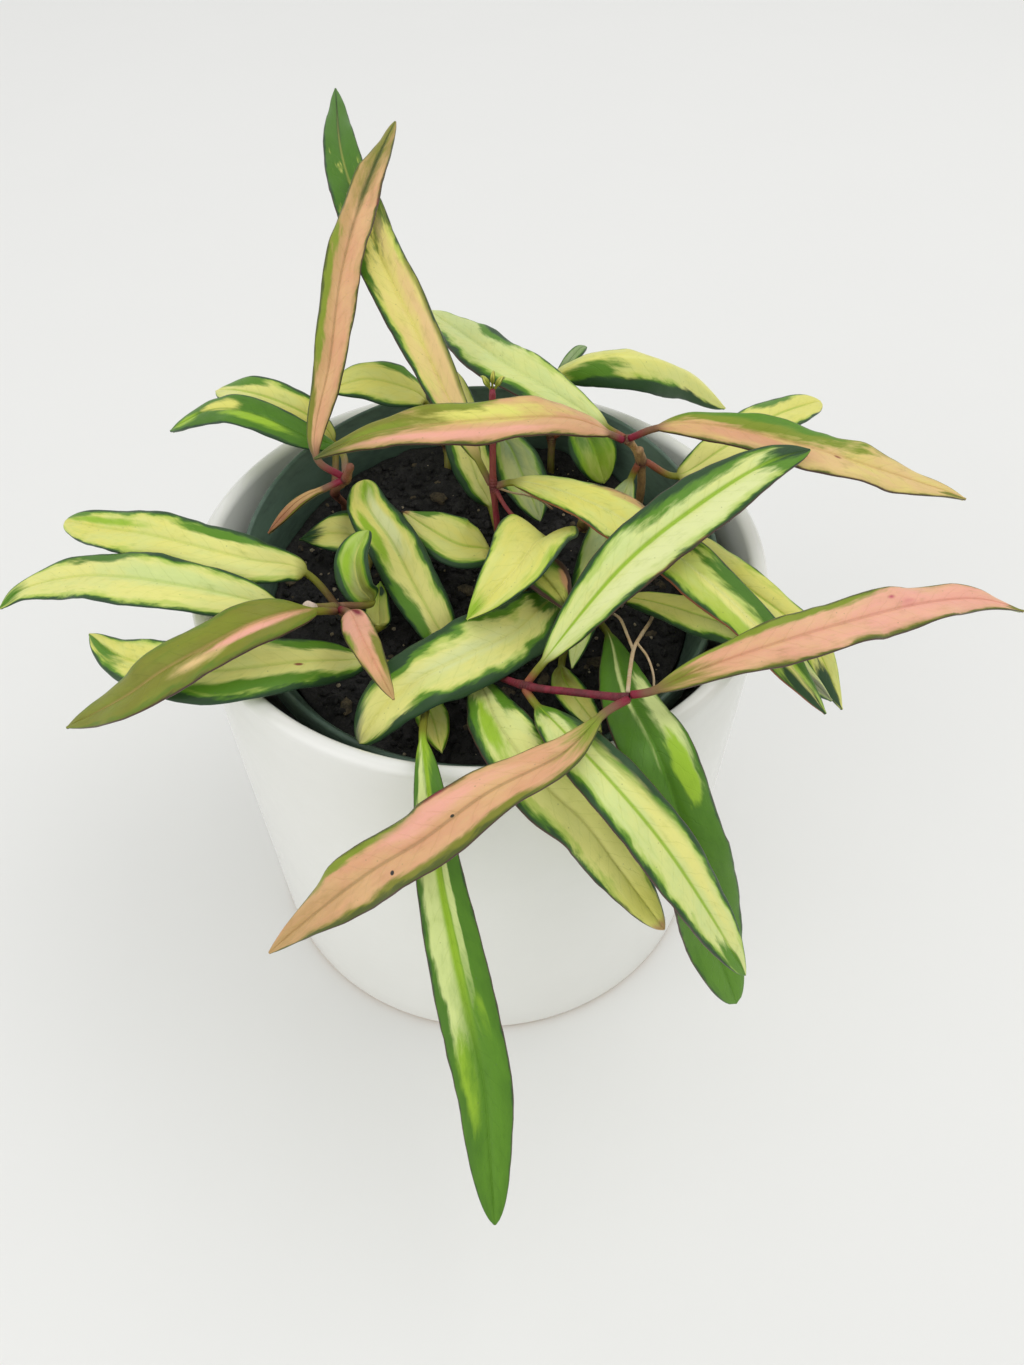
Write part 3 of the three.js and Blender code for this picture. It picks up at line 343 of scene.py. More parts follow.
    leaf_row("back_arched", "crownBack", "cream", width=12, wave=0.4, fold=-35,
             spine=[(17, 45, 130), (25, 45, 136), (38, 46, 136), (51, 53, 127), (62, 55, 116)],
             pale=("straw", "cream"), margin=(0.18, 0.3), rib="cream",
             patches=[("leaf", 0.2, 0.5, 0.14, 0.5, 0.4), ("deep", 0.6, 0.9, 0.5, 0.25)]),
    leaf_row("right_back_pale", "right", "mint", width=11, full=0.8,
             spine=[(46, 22, 120), (56, 25, 125), (70, 39, 124), (86, 55, 118)],
             pale=("cream", "straw"), margin=(0.14, 0.1),
             patches=[("leaf", 0.66, -0.8, 0.14, 0.35), ("straw", 0.97, 0, 0.14, 1.4)]),
    leaf_row("right_lemon", "crownLemon", "cream", width=9,
             spine=[(48, 4, 117), (50, -6, 121), (55, -18, 123), (69, -26, 115), (79, -31, 98)],
             pale=("straw", "straw"), margin=(0.1, 0.12), inner="lime",
             patches=[("deep", 0.92, 0.5, 0.16, 0.6)]),
    leaf_row("right_lowest", "crownRight", "mint", width=9,
             spine=[(32, -7, 108), (45, -22, 118), (57, -35, 123), (73, -38, 109)],
             pale=("straw", "mint"), margin=(0.08, 0.26),
             patches=[("grey", 0.94, 0, 0.12, 0.7, 0.5)]),
    leaf_row("inner_mint", "right", "mint", width=10, wave=0.4,
             spine=[(35, 20, 121), (28, 1, 117), (23, -16, 113), (20, -28, 108)],
             pale=("sage", "mint"), margin=(0.22, 0.2), rib_strength=0.3),
    leaf_row("inner_lime", "centreLow", "cream", width=12.5, wave=0.3, fold=18, full=0.1, widest=0.3,
             spine=[(1.7, 6.5, 110.5), (-4.7, 4.7, 113.5), (-11.7, 8.5, 115), (-18.7, 16.2, 114)],
             pale=("straw", "cream"), margin=(0.24, 0.1),
             patches=[("leaf", 0.75, 0.8, 0.16, 0.4), ("tan", 0.96, 0.2, 0.07, 0.8, 0.5),
                      ("plum", 1.0, 0, 0.05, 1)]),
    leaf_row("inner_curled", "crownInner", "cream", width=16, wave=0.3, fold=30, roll=(14, 0), full=0.1,
             widest=0.38,
             spine=[(16, 5.5, 114.5), (14, -2, 121), (11.7, -8, 124.5), (8.5, -16.3, 126),
                    (3.5, -22.5, 124.5), (-2, -27, 121.5)],
             pale=("straw", "straw"), margin=(0.1, 0.1), inner="lime", dark="teal", rib="cream",
             rib_strength=0.2,
             patches=[("lime", 0.97, 0.2, 0.1, 0.8, 0.6), ("cream", 0.6, 0, 0.25, 0.4, 0.8)]),
    leaf_row("inner_small_dark", "crownMiddle", "green", width=10, wave=0.2, fold=24, widest=0.35,
             spine=[(12.3, -0.8, 111.5), (15, -8.3, 114.5), (17.3, -15, 116.5), (19, -20, 117)],
             pale=("leaf", "straw"), change=0.35, margin=(0.34, 0.36), dark="plum", rib="olive",
             patches=[("salmon", 0.62, -0.75, 0.2, 0.3, 0.5), ("moss", 0.98, 0, 0.14, 1.2, 0.5)]),
    leaf_row("left_curled", "left", "cream", width=9.5, wave=0.3, fold=30, roll=(-30, -30), full=0.3,
             widest=0.5,
             spine=[(-23.5, -12.5, 112.5), (-25.5, -11.5, 116), (-26.5, -7.3, 119.5),
                    (-24.2, -0.5, 122.5)],
             pale=("olive", "lime"), margin=(0.36, 0.2), rib="cream",
             patches=[("lime", 0.55, -0.35, 0.25, 0.25, 0.6)]),
    leaf_row("left_curled_low", "leftLow", "cream", width=12, wave=0.2, fold=20, full=0, widest=0.25,
             spine=[(-26.5, 11, 108), (-30.5, 12, 110), (-34.5, 11.5, 111), (-43.2, 13.1, 108)],
             pale=("cream", "straw"), margin=(0.12, 0.2), rib_strength=0.2,
             patches=[("deep", 0.9, 0, 0.25, 1.2, 0.4)]),
    leaf_row("front_tiny", "crownFront", "cream", width=7, wave=0.3,
             spine=[(-12, -27, 100), (-9, -40, 104), (-7, -49, 106)],
             pale=("lime", "straw"), margin=(0.2, 0.16), inner="lime", dark="leaf", edge="olive"),
    leaf_row("front_hanging", "crownFront", "green", width=11.2, full=0, widest=0.62,
             spine=[(-10, -52, 116), (-8, -67, 121), (-6, -79, 108), (-4, -86, 99), (-1, -96, 88),
                    (2, -106, 78), (3, -115, 69), (4, -125, 60)],
             pale=("fern", "fern"), margin=(0.05, 0.05), rib_strength=1.0, rib_reach=0.62, rib_width=0.24,
             patches=[("lime", 0.03, 0, 0.1, 1.2, 0.5), ("mint", 0.36, 0.4, 0.3, 0.38, 0.25),
                      ("mint", 0.56, 0.37, 0.2, 0.3, 0.25), ("lime", 0.73, 0.42, 0.1, 0.28, 0.4),
                      ("mint", 0.44, -0.27, 0.19, 0.12, 0.2), ("lime", 0.61, -0.42, 0.045, 0.18, 0.3),
                      ("leaf", 0.78, -0.2, 0.3, 0.7, 0.9)]),
    leaf_row("inner_back", "crownBackLeft", "mint", width=12, wave=0.4,
             spine=[(4, 40, 118), (10, 30, 113), (14, 20, 108)],
             pale=("sage", "sage"), margin=(0.3, 0.2)),
    leaf_row("inner_right", "crownBack", "mint", width=12, wave=0.4,
             spine=[(23, 41, 121), (27, 35, 118), (30, 32, 110)],
             pale=("fern", "lime"), margin=(0.2, 0.24)),
    leaf_row("front_inner", "crownRight", "cream", width=7, wave=0.4,
             spine=[(18, -23, 103), (20, -35, 107), (25, -47, 110)],
             pale=("olive", "straw"), margin=(0.2, 0.14)),
    leaf_row("inner_steep", "centreLow", "cream", width=10, wave=0.4,
             spine=[(2, 24, 109), (-1, 26, 115), (-4, 31, 124), (-6, 45, 133)],
             pale=("cream", "cream"), margin=(0.4, 0.14), rib_strength=0.25),
    leaf_row("left_tiny", "left", "cream", width=6.5, wave=0.2, fold=22, roll=(-20, -20), widest=0.3,
             spine=[(-22.8, -11.7, 103.5), (-22.6, -7.9, 107), (-22.6, -2.5, 109)],
             pale=("straw", "lime"), margin=(0.2, 0.12), rib="cream", added=True,
             patches=[("deep", 0.75, 0.4, 0.12, 0.4)]),
    leaf_row("bud_left", "centre", "green", width=1.5, wave=0.05, thin=0.35, petiole=0.3,
             foot=(2.8, 17, 146.4),
             spine=[(2.4, 17.1, 147.4), (1.6, 17.2, 148.8), (0.9, 17.1, 150.2)],
             pale=("olive", "straw"), margin=(0.1, 0.1), inner="leaf", dark="moss", edge="olive",
             added=True),
    leaf_row("bud_right", "centre", "green", width=1.5, wave=0.05, thin=0.35, petiole=0.3,
             foot=(3.3, 17.2, 146.4),
             spine=[(3.8, 17.3, 147.4), (4.5, 17.5, 148.6), (5.4, 17.4, 149.8)],
             pale=("olive", "straw"), margin=(0.1, 0.1), inner="leaf", dark="moss", edge="olive",
             added=True),
    leaf_row("bud_middle", "centre", "green", width=1.1, wave=0.03, thin=0.3, petiole=0.25,
             foot=(3, 17.3, 146.4),
             spine=[(3, 17.6, 147.8), (3.1, 17.7, 149.4), (3.3, 17.8, 151)],
             pale=("olive", "straw"), margin=(0.1, 0.1), inner="olive", dark="olive", edge="rust",
             rib="rust", added=True),
    leaf_row("back_tip", "crownBack", "green", width=3.4, wave=0.2, fold=20,
             spine=[(18.1, 49.1, 126), (20.7, 51, 131), (23.5, 55.6, 132), (25.8, 60.7, 130)],
             pale=("sage", "sage"), margin=(0.3, 0.3), edge="teal", rib="sage", added=True),
]


# Numbers and curves
def linear(name):
    """A palette colour as the linear red, green, blue and alpha that shaders take."""
    def one(value):
        share = value / 255
        return share / 12.92 if share <= 0.04045 else ((share + 0.055) / 1.055) ** 2.4
    return (*[one(value) for value in PALETTE[name]], 1)


def smooth(value, low, high):
    share = np.clip((value - low) / (high - low), 0, 1)
    return float(share * share * (3 - 2 * share))


def place(entry):
    return Vector(NODE[entry] if isinstance(entry, str) else entry)


def circle(radius, sides):
    """Even steps round a circle, as x and y."""
    for side in range(sides):
        angle = 2 * math.pi * side / sides
        yield radius * math.cos(angle), radius * math.sin(angle)


def curve_point(points, t):
    """A point on the centripetal Catmull-Rom curve through points, for t from 0 to 1."""
    last = len(points) - 1
    span = min(int(last * t), last - 1)
    share = last * t - span
    p1, p2 = points[span], points[span + 1]
    p0 = points[span - 1] if span > 0 else 2 * points[0] - points[1]
    p3 = points[span + 2] if span + 2 <= last else 2 * points[last] - points[last - 1]
    d0, d1, d2 = ((b - a).length ** 0.5 for a, b in ((p0, p1), (p1, p2), (p2, p3)))
    start = ((p1 - p0) / d0 - (p2 - p0) / (d0 + d1) + (p2 - p1) / d1) * d1
    end = ((p2 - p1) / d1 - (p3 - p1) / (d1 + d2) + (p3 - p2) / d2) * d1
    bend = 3 * (p2 - p1) - 2 * start - end
    twist = 2 * (p1 - p2) + start + end
    return p1 + share * (start + share * (bend + share * twist))


def curve_direction(points, t):
    near = 1e-4
    return (curve_point(points, min(t + near, 1)) - curve_point(points, max(t - near, 0))).normalized()


# Shader nodes
class Board:
    """Places and joins the nodes of one material or one node group."""

    def __init__(self, tree):
        self.tree = tree

    def node(self, kind, inputs=(), **settings):
        made = self.tree.nodes.new(kind)
        for name, value in settings.items():
            setattr(made, name, value)
        for key, value in dict(inputs).items():
            self.feed(made.inputs[key], value)
        return made

    def feed(self, socket, value):
        if isinstance(value, bpy.types.NodeSocket):
            self.tree.links.new(value, socket)
        else:
            socket.default_value = value

    def math(self, operation, first, second=0.0, third=0.0):
        return self.node("ShaderNodeMath", {0: first, 1: second, 2: third}, operation=operation).outputs[0]

    def blend(self, share, below, above, how="MIX"):
        made = self.node("ShaderNodeMix", data_type="RGBA", blend_type=how, clamp_factor=True)
        for key, value in ((0, share), (6, below), (7, above)):
            self.feed(made.inputs[key], value)
        return made.outputs[2]

    def ramp(self, value, low, high, start=0.0, end=1.0):
        inputs = {"Value": value, "From Min": low, "From Max": high, "To Min": start, "To Max": end}
        return self.node("ShaderNodeMapRange", inputs, interpolation_type="SMOOTHSTEP").outputs[0]

    def noise(self, vector, scale, detail=2.0, roughness=0.5, distortion=0.0):
        inputs = {"Vector": vector, "Scale": scale, "Detail": detail}
        inputs |= {"Roughness": roughness, "Distortion": distortion}
        return self.node("ShaderNodeTexNoise", inputs).outputs[0]

    def cells(self, vector, scale):
        return self.node("ShaderNodeTexVoronoi", {"Vector": vector, "Scale": scale}).outputs["Distance"]

    def attribute(self, name):
        return self.node("ShaderNodeAttribute", attribute_name=name).outputs["Fac"]

    def split(self, vector):
        return self.node("ShaderNodeSeparateXYZ", {0: vector}).outputs

    def join(self, x, y, z):
        return self.node("ShaderNodeCombineXYZ", {0: x, 1: y, 2: z}).outputs[0]

    def place(self, name, **inputs):
        made = self.tree.nodes.new("ShaderNodeGroup")
        made.node_tree = GROUPS[name]
        for key, value in inputs.items():
            self.feed(made.inputs[key.replace("_", " ")], value)
        return made.outputs


GROUPS = {}
FLOAT, COLOUR, VECTOR = "NodeSocketFloat", "NodeSocketColor", "NodeSocketVector"
WHITE, BLACK = (1, 1, 1, 1), (0, 0, 0, 1)


def new_group(name, inputs, outputs):
    """An empty node group with its named sockets: its board, what comes in and what goes out."""
    tree = bpy.data.node_groups.new(name, "ShaderNodeTree")
    for socket_name, kind, value in inputs:
        socket = tree.interface.new_socket(socket_name, in_out="INPUT", socket_type=kind)
        socket.default_value = value
    for socket_name, kind in outputs:
        tree.interface.new_socket(socket_name, in_out="OUTPUT", socket_type=kind)
    GROUPS[name] = tree
    board = Board(tree)
    return board, board.node("NodeGroupInput").outputs, board.node("NodeGroupOutput").inputs


def leaf_place_group():
    """Where a point lies on its leaf: Along 0 to 1, Across -1 to 1, and Flow in millimetres."""
    board, given, made = new_group(
        "Leaf place",
        [("Length", FLOAT, 80.0), ("Half Width", FLOAT, 6.0), ("Seed", FLOAT, 0.0)],
        [("Along", FLOAT), ("Across", FLOAT), ("Flow", VECTOR)],
    )
    parts = board.split(board.node("ShaderNodeUVMap", uv_map="Leaf").outputs[0])
    across = board.math("MULTIPLY_ADD", parts[1], 2.0, -1.0)
    lengthwise = board.math("MULTIPLY", parts[0], given["Length"])
    sideways = board.math("MULTIPLY", across, given["Half Width"])
    board.feed(made["Along"], parts[0])
    board.feed(made["Across"], across)
    board.feed(made["Flow"], board.join(lengthwise, sideways, given["Seed"]))


def brushed(board, flow, slant, stretch, scale, detail=3.0):
    """Streaks that leave the midrib at a slant towards the tip, as a leaf's veins do."""
    roughness = 0.6
    parts = board.split(flow)
    away = board.math("ABSOLUTE", parts[1])
    lengthwise = board.math("MULTIPLY_ADD", away, -slant, parts[0])
    lengthwise = board.math("MULTIPLY", lengthwise, stretch)
    return board.noise(board.join(lengthwise, parts[1], parts[2]), scale, detail, roughness)


def brushed_swing(board, flow, **brush):
    """The same streaks, swinging about zero."""
    return board.math("SUBTRACT", brushed(board, flow, **brush), 0.5)


def ragged_margin_group():
    """Zones of a variegated margin, each inside the one before: pale fringe, mid green, dark green, edge."""
    board, given, made = new_group(
        "Ragged margin",
        [("Across", FLOAT, 0.0), ("Flow", VECTOR, (0, 0, 0)), ("Left", FLOAT, 0.2), ("Right", FLOAT, 0.2),
         ("Ragged", FLOAT, 0.25)],
        [("Fringe", FLOAT), ("Inner", FLOAT), ("Dark", FLOAT), ("Edge", FLOAT)],
    )
    flow = given["Flow"]
    least_width, dark_share = 0.02, 0.66
    distance = board.math("SUBTRACT", 1.0, board.math("ABSOLUTE", given["Across"]))
    is_right = board.ramp(given["Across"], -0.05, 0.05)
    span = board.math("SUBTRACT", given["Right"], given["Left"])
    width = board.math("MULTIPLY_ADD", span, is_right, given["Left"])
    slow = board.noise(flow, scale=0.09)
    width = board.math("MULTIPLY", width, board.ramp(slow, 0.3, 0.7, start=0.55, end=1.45))
    coarse = brushed_swing(board, flow, slant=1.6, stretch=0.45, scale=0.3)
    quick = brushed_swing(board, flow, slant=2.2, stretch=0.25, scale=1.1, detail=4.0)
    ragged = board.math("MULTIPLY", board.math("MULTIPLY_ADD", coarse, 1.3, quick), given["Ragged"])
    limit = board.math("MAXIMUM", board.math("ADD", width, ragged), least_width)
    past = board.math("SUBTRACT", limit, distance)
    board.feed(made["Inner"], board.ramp(past, -0.06, 0.05))
    dark_limit = board.math("MULTIPLY_ADD", quick, 0.16, board.math("MULTIPLY", limit, dark_share))
    board.feed(made["Dark"], board.ramp(board.math("SUBTRACT", dark_limit, distance), -0.07, 0.06))
    wider = board.math("ADD", past, board.math("MULTIPLY_ADD", coarse, 0.5, 0.1))
    board.feed(made["Fringe"], board.ramp(wider, -0.12, 0.1))
    board.feed(made["Edge"], board.ramp(distance, 0.055, 0.012))


def leaf_patch_group():
    """A blotch with a ragged outline somewhere on the blade: soft 0 is crisp, 1 melts away."""
    board, given, made = new_group(
        "Leaf patch",
        [("Along", FLOAT, 0.0), ("Across", FLOAT, 0.0), ("Flow", VECTOR, (0, 0, 0)),
         ("Centre Along", FLOAT, 0.5), ("Centre Across", FLOAT, 0.0), ("Reach Along", FLOAT, 0.2),
         ("Reach Across", FLOAT, 0.3), ("Soft", FLOAT, 0.2)],
        [("Mask", FLOAT)],
    )
    lengthwise = board.math("SUBTRACT", given["Along"], given["Centre Along"])
    lengthwise = board.math("DIVIDE", lengthwise, given["Reach Along"])
    sideways = board.math("SUBTRACT", given["Across"], given["Centre Across"])
    sideways = board.math("DIVIDE", sideways, given["Reach Across"])
    squared = board.math("MULTIPLY_ADD", lengthwise, lengthwise, board.math("MULTIPLY", sideways, sideways))
    reach = board.math("SQRT", squared)
    coarse = brushed_swing(board, given["Flow"], slant=1.4, stretch=0.5, scale=0.2, detail=2.0)
    quick = brushed_swing(board, given["Flow"], slant=2.0, stretch=0.25, scale=0.9, detail=4.0)
    reach = board.math("ADD", reach, board.math("MULTIPLY_ADD", coarse, 1.1, quick))
    outside = board.math("MULTIPLY_ADD", given["Soft"], 0.4, 1.12)
    inside = board.math("MULTIPLY_ADD", given["Soft"], -0.9, 0.94)
    board.feed(made["Mask"], board.ramp(reach, outside, inside))


def leaf_clouds_group():
    """Where a blade's pale ground drifts to its second tone, and where green streaks run into it."""
    board, given, made = new_group(
        "Leaf clouds",
        [("Across", FLOAT, 0.0), ("Flow", VECTOR, (0, 0, 0))],
        [("Cloud", FLOAT), ("Streak", FLOAT)],
    )
    cloud = brushed(board, given["Flow"], slant=0.8, stretch=0.4, scale=0.24, detail=4.0)
    board.feed(made["Cloud"], board.ramp(cloud, 0.36, 0.68))
    streak = board.ramp(brushed(board, given["Flow"], slant=2.0, stretch=0.14, scale=0.9), 0.5, 0.74)
    outward = board.ramp(board.math("ABSOLUTE", given["Across"]), 0.1, 0.8)
    board.feed(made["Streak"], board.math("MULTIPLY", streak, outward))


def leaf_skin_group():
    """Uneven colour, faint side veins, pin-prick specks and a fine grain that every blade has."""
    board, given, made = new_group(
        "Leaf skin",
        [("Colour", COLOUR, WHITE), ("Across", FLOAT, 0.0), ("Flow", VECTOR, (0, 0, 0)),
         ("Cloud", FLOAT, 0.42), ("Specks", FLOAT, 0.35)],
        [("Colour", COLOUR), ("Roughness", FLOAT), ("Height", FLOAT)],
    )
    shaded, sunlit = (0.55, 0.62, 0.36, 1), (0.86, 0.86, 0.62, 1)
    vein_tone, vein_slant, veins_per_mm, vein_share = (0.62, 0.72, 0.42, 1), -1.3, 0.24, 0.16
    speck_tone, specks_per_mm = (0.1, 0.15, 0.06, 1), 0.75
    pore_tone, pores_per_mm, pore_share = (0.7, 0.74, 0.5, 1), 2.6, 0.12
    flow = given["Flow"]
    streak = brushed(board, flow, slant=2.0, stretch=0.2, scale=1.3)
    cloud = board.noise(flow, scale=0.3, detail=3.0)
    light = board.math("ADD", board.math("MULTIPLY", streak, 0.45), board.math("MULTIPLY", cloud, 0.55))
    light = board.math("SUBTRACT", light, 0.5)
    light = board.math("MULTIPLY_ADD", light, given["Cloud"], 0.5)
    colour = board.blend(board.ramp(light, 0.5, 0.3), given["Colour"], shaded, "MULTIPLY")
    colour = board.blend(board.ramp(light, 0.5, 0.8), colour, sunlit, "SOFT_LIGHT")

    away = board.math("ABSOLUTE", given["Across"])
    parts = board.split(flow)
    bent = board.math("MULTIPLY_ADD", board.noise(flow, scale=0.35), 2.2, parts[0])
    slanted = board.math("MULTIPLY_ADD", board.math("ABSOLUTE", parts[1]), vein_slant, bent)
    phase = board.math("FRACT", board.math("MULTIPLY", slanted, veins_per_mm))
    vein = board.ramp(board.math("ABSOLUTE", board.math("SUBTRACT", phase, 0.5)), 0.07, 0.0)
    vein = board.math("MULTIPLY", vein, board.ramp(away, 0.9, 0.3))
    colour = board.blend(board.math("MULTIPLY", vein, vein_share), colour, vein_tone, "MULTIPLY")

    scatter = board.ramp(board.noise(flow, scale=0.31), 0.52, 0.6)
    dots = board.math("MULTIPLY", board.ramp(board.cells(flow, specks_per_mm), 0.16, 0.07), scatter)
    dots = board.math("MULTIPLY", dots, given["Specks"])
    colour = board.blend(dots, colour, speck_tone)
    pores = board.ramp(board.cells(flow, pores_per_mm), 0.3, 0.05)
    colour = board.blend(board.math("MULTIPLY", pores, pore_share), colour, pore_tone, "SOFT_LIGHT")
    board.feed(made["Colour"], colour)

    rib = board.ramp(away, 0.0, 0.08)
    grain = board.noise(flow, scale=3.2, detail=4.0, roughness=0.6)
    height = board.math("MULTIPLY_ADD", streak, 0.45, board.math("MULTIPLY", grain, 0.3))
    height = board.math("MULTIPLY_ADD", vein, -0.35, height)
    height = board.math("MULTIPLY_ADD", pores, -0.12, height)
    board.feed(made["Height"], board.math("MULTIPLY_ADD", rib, 0.3, height))
    rough = board.ramp(board.math("ADD", grain, dots), 0.2, 1.2, start=0.36, end=0.54)
    board.feed(made["Roughness"], rough)


def weathering_group():
    """Slow and fine unevenness for stems, pots and mix, from the object's own coordinates."""
    board, given, made = new_group(
        "Weathering",
        [("Light", COLOUR, WHITE), ("Dark", COLOUR, BLACK), ("Size", FLOAT, 100.0), ("Share", FLOAT, 0.5),
         ("Stretch", VECTOR, (1, 1, 1))],
        [("Colour", COLOUR), ("Mask", FLOAT), ("Grain", FLOAT)],
    )
    coordinates = board.node("ShaderNodeTexCoord").outputs["Object"]
    inputs = {0: coordinates, 1: given["Stretch"]}
    stretched = board.node("ShaderNodeVectorMath", inputs, operation="MULTIPLY").outputs[0]
    slow = board.noise(stretched, given["Size"], detail=4.0, roughness=0.6, distortion=0.3)
    fine = board.noise(stretched, board.math("MULTIPLY", given["Size"], 6.0), detail=3.0, roughness=0.6)
    both = board.math("MULTIPLY_ADD", fine, 0.35, board.math("MULTIPLY", slow, 0.65))
    mask = board.ramp(both, 0.34, 0.66)
    share = board.math("MULTIPLY", mask, given["Share"])
    board.feed(made["Mask"], mask)
    board.feed(made["Grain"], fine)
    board.feed(made["Colour"], board.blend(share, given["Light"], given["Dark"]))


leaf_place_group()
ragged_margin_group()
leaf_patch_group()
leaf_clouds_group()
leaf_skin_group()
weathering_group()


# Materials
def new_material(name):
    """An empty material: the material, its board and its surface shader."""
    material = bpy.data.materials.new(name)
    material.use_nodes = True
    board = Board(material.node_tree)
    surface = next(node for node in material.node_tree.nodes if node.type == "BSDF_PRINCIPLED")
    return material, board, surface


def set_surface(board, surface, colour, roughness, height=None, strength=0.2, depth=0.0002, **fixed):
    """Feed a surface shader. height is raised by depth, in metres; fixed holds what is even all over."""
    board.feed(surface.inputs["Base Color"], colour)
    board.feed(surface.inputs["Roughness"], roughness)
    for name, value in fixed.items():
        surface.inputs[name.replace("_", " ")].default_value = value
    if height is not None:
        inputs = {"Strength": strength, "Distance": depth, "Height": height}
        board.feed(surface.inputs["Normal"], board.node("ShaderNodeBump", inputs).outputs[0])


def weathered(board, light, dark, **values):
    return board.place("Weathering", Light=linear(light), Dark=linear(dark), **values)


def leaf_material(leaf, length, seed):
    """Skin of one blade and its petiole, laid from the pale ground out to the dark edge."""
    change_reach, cloud_share, streak_share, under_share = 0.3, 0.45, 0.6, 0.4
    material, board, surface = new_material(f"{leaf['name']}_blade")
    at = board.place("Leaf place", Length=length, Half_Width=leaf["width"] / 2, Seed=seed * 7.3)
    here = dict(Across=at["Across"], Flow=at["Flow"])
    pale_low, pale_high = leaf["pale"]
    along_share = board.ramp(at["Along"], leaf["change"] - change_reach, leaf["change"] + change_reach)
    colour = board.blend(along_share, linear(pale_low), linear(pale_high))

    clouds = board.place("Leaf clouds", **here)
    cloud = board.math("MULTIPLY", clouds["Cloud"], cloud_share)
    colour = board.blend(cloud, colour, linear(leaf["second"]))
    fringe, amount = linear(leaf["fringe"]), leaf["fringe_share"]
    streak = board.math("MULTIPLY", clouds["Streak"], streak_share * amount)
    colour = board.blend(streak, colour, fringe)
    left, right = leaf["margin"]
    zone = board.place("Ragged margin", Left=left, Right=right, Ragged=leaf["ragged"], **here)
    colour = board.blend(board.math("MULTIPLY", zone["Fringe"], amount), colour, fringe)
    colour = board.blend(zone["Inner"], colour, linear(leaf["inner"]))
    for patch_colour, along, across, reach_along, reach_across, *soft in leaf["patches"]:
        softness = soft[0] if soft else PATCH_SOFTNESS
        patch = board.place("Leaf patch", Along=at["Along"], Centre_Along=along, Centre_Across=across,
                            Reach_Along=reach_along, Reach_Across=reach_across, Soft=softness, **here)
        colour = board.blend(patch["Mask"], colour, linear(patch_colour))

    reach, breadth = leaf["rib_reach"], leaf["rib_width"]
    away = board.math("ABSOLUTE", at["Across"])
    rib = board.ramp(away, breadth, 0.2 * breadth, start=0.0, end=leaf["rib_strength"])
    rib = board.math("MULTIPLY", rib, board.ramp(at["Along"], reach + 0.1, reach - 0.15))
    colour = board.blend(rib, colour, linear(leaf["rib"]))
    colour = board.blend(zone["Dark"], colour, linear(leaf["dark"]))
    colour = board.blend(zone["Edge"], colour, linear(leaf["edge"]))

    skin = board.place("Leaf skin", Colour=colour, **here)
    under = board.math("MULTIPLY", board.attribute("under"), under_share)
    colour = board.blend(under, skin["Colour"], linear("sage"))
    foot, neck = leaf["stalk"]
    petiole = board.blend(board.ramp(at["Along"], -0.16, -0.02), linear(foot), linear(neck))
    colour = board.blend(board.ramp(at["Along"], 0.06, -0.01), colour, petiole)
    set_surface(board, surface, colour, skin["Roughness"], skin["Height"], strength=0.4, depth=0.0003,
                Subsurface_Weight=0.08, Subsurface_Scale=0.002, Subsurface_Radius=(1.0, 1.0, 0.4),
                Specular_IOR_Level=0.25)
    return material


def weathered_material(name, light, dark, size, share, roughness, strength, depth, stretch=(1, 1, 1)):
    """Colour that wanders between two tones, with roughness and relief from the same unevenness."""
    material, board, surface = new_material(name)
    worn = weathered(board, light, dark, Size=size, Share=share, Stretch=stretch)
    low, high = roughness
    uneven = board.ramp(worn["Grain"], 0.2, 0.8, low, high)
    set_surface(board, surface, worn["Colour"], uneven, worn["Mask"], strength, depth)
    return material


def glaze_material():
    """White glaze, a little greyer in its slow waves, with a painted shadow line in clay and tan tones round
    the foot.
    """
    shadow_full_below, shadow_gone_above = 0.0007, 0.0016
    material, board, surface = new_material("white_glaze")
    worn = weathered(board, "glaze", "glaze_shade", Size=18.0, Share=0.35)
    height = board.split(board.node("ShaderNodeTexCoord").outputs["Object"])[2]
    # Painted shade: below 1.6 mm the glaze turns to clay and tan tones, a painted shadow line where the pot
    # meets the floor
    foot = board.ramp(height, shadow_gone_above, shadow_full_below)
    clay = weathered(board, "clay", "tan", Size=500.0, Share=0.6)
    colour = board.blend(foot, worn["Colour"], clay["Colour"])
    glossy = board.ramp(worn["Mask"], 0.0, 1.0, start=0.2, end=0.27)
    roughness = board.math("MULTIPLY_ADD", foot, 0.5, glossy)
    set_surface(board, surface, colour, roughness, worn["Mask"], strength=0.1, depth=0.0004,
                Coat_Weight=0.3, Coat_Roughness=0.08)
    return material


def mix_material(name, light, dark, size):
    """Dull crumb whose pieces differ in tone, from the mesh's own tone marks."""
    material, board, surface = new_material(name)
    worn = weathered(board, light, dark, Size=size, Share=0.9)
    tone = board.math("MULTIPLY", board.attribute("tone"), 0.5)
    colour = board.blend(tone, worn["Colour"], linear(dark), "MULTIPLY")
    rough = board.ramp(worn["Mask"], 0.0, 1.0, start=0.75, end=0.98)
    set_surface(board, surface, colour, rough, worn["Grain"], strength=0.6, depth=0.0005)
    return material


def shoot_material(name, high, low):
    """Bark that wanders between two tones along the shoot, maroon and ringed by scars at its nodes."""
    material, board, surface = new_material(name)
    worn = weathered(board, high, low, Size=260.0, Share=0.75, Stretch=(1, 1, 0.4))
    knot = board.attribute("knot")
    patchy = board.math("MULTIPLY", knot, board.ramp(worn["Grain"], 0.3, 0.7, start=0.55, end=1.0))
    colour = board.blend(patchy, worn["Colour"], linear("maroon"))
    rings = board.math("SINE", board.math("MULTIPLY", knot, 24.0))
    relief = board.math("MULTIPLY_ADD", rings, board.math("MULTIPLY", knot, 0.6), worn["Mask"])
    uneven = board.ramp(worn["Grain"], 0.2, 0.8, start=0.4, end=0.68)
    set_surface(board, surface, colour, uneven, relief, strength=0.5, depth=0.0004, Specular_IOR_Level=0.4)
    return material


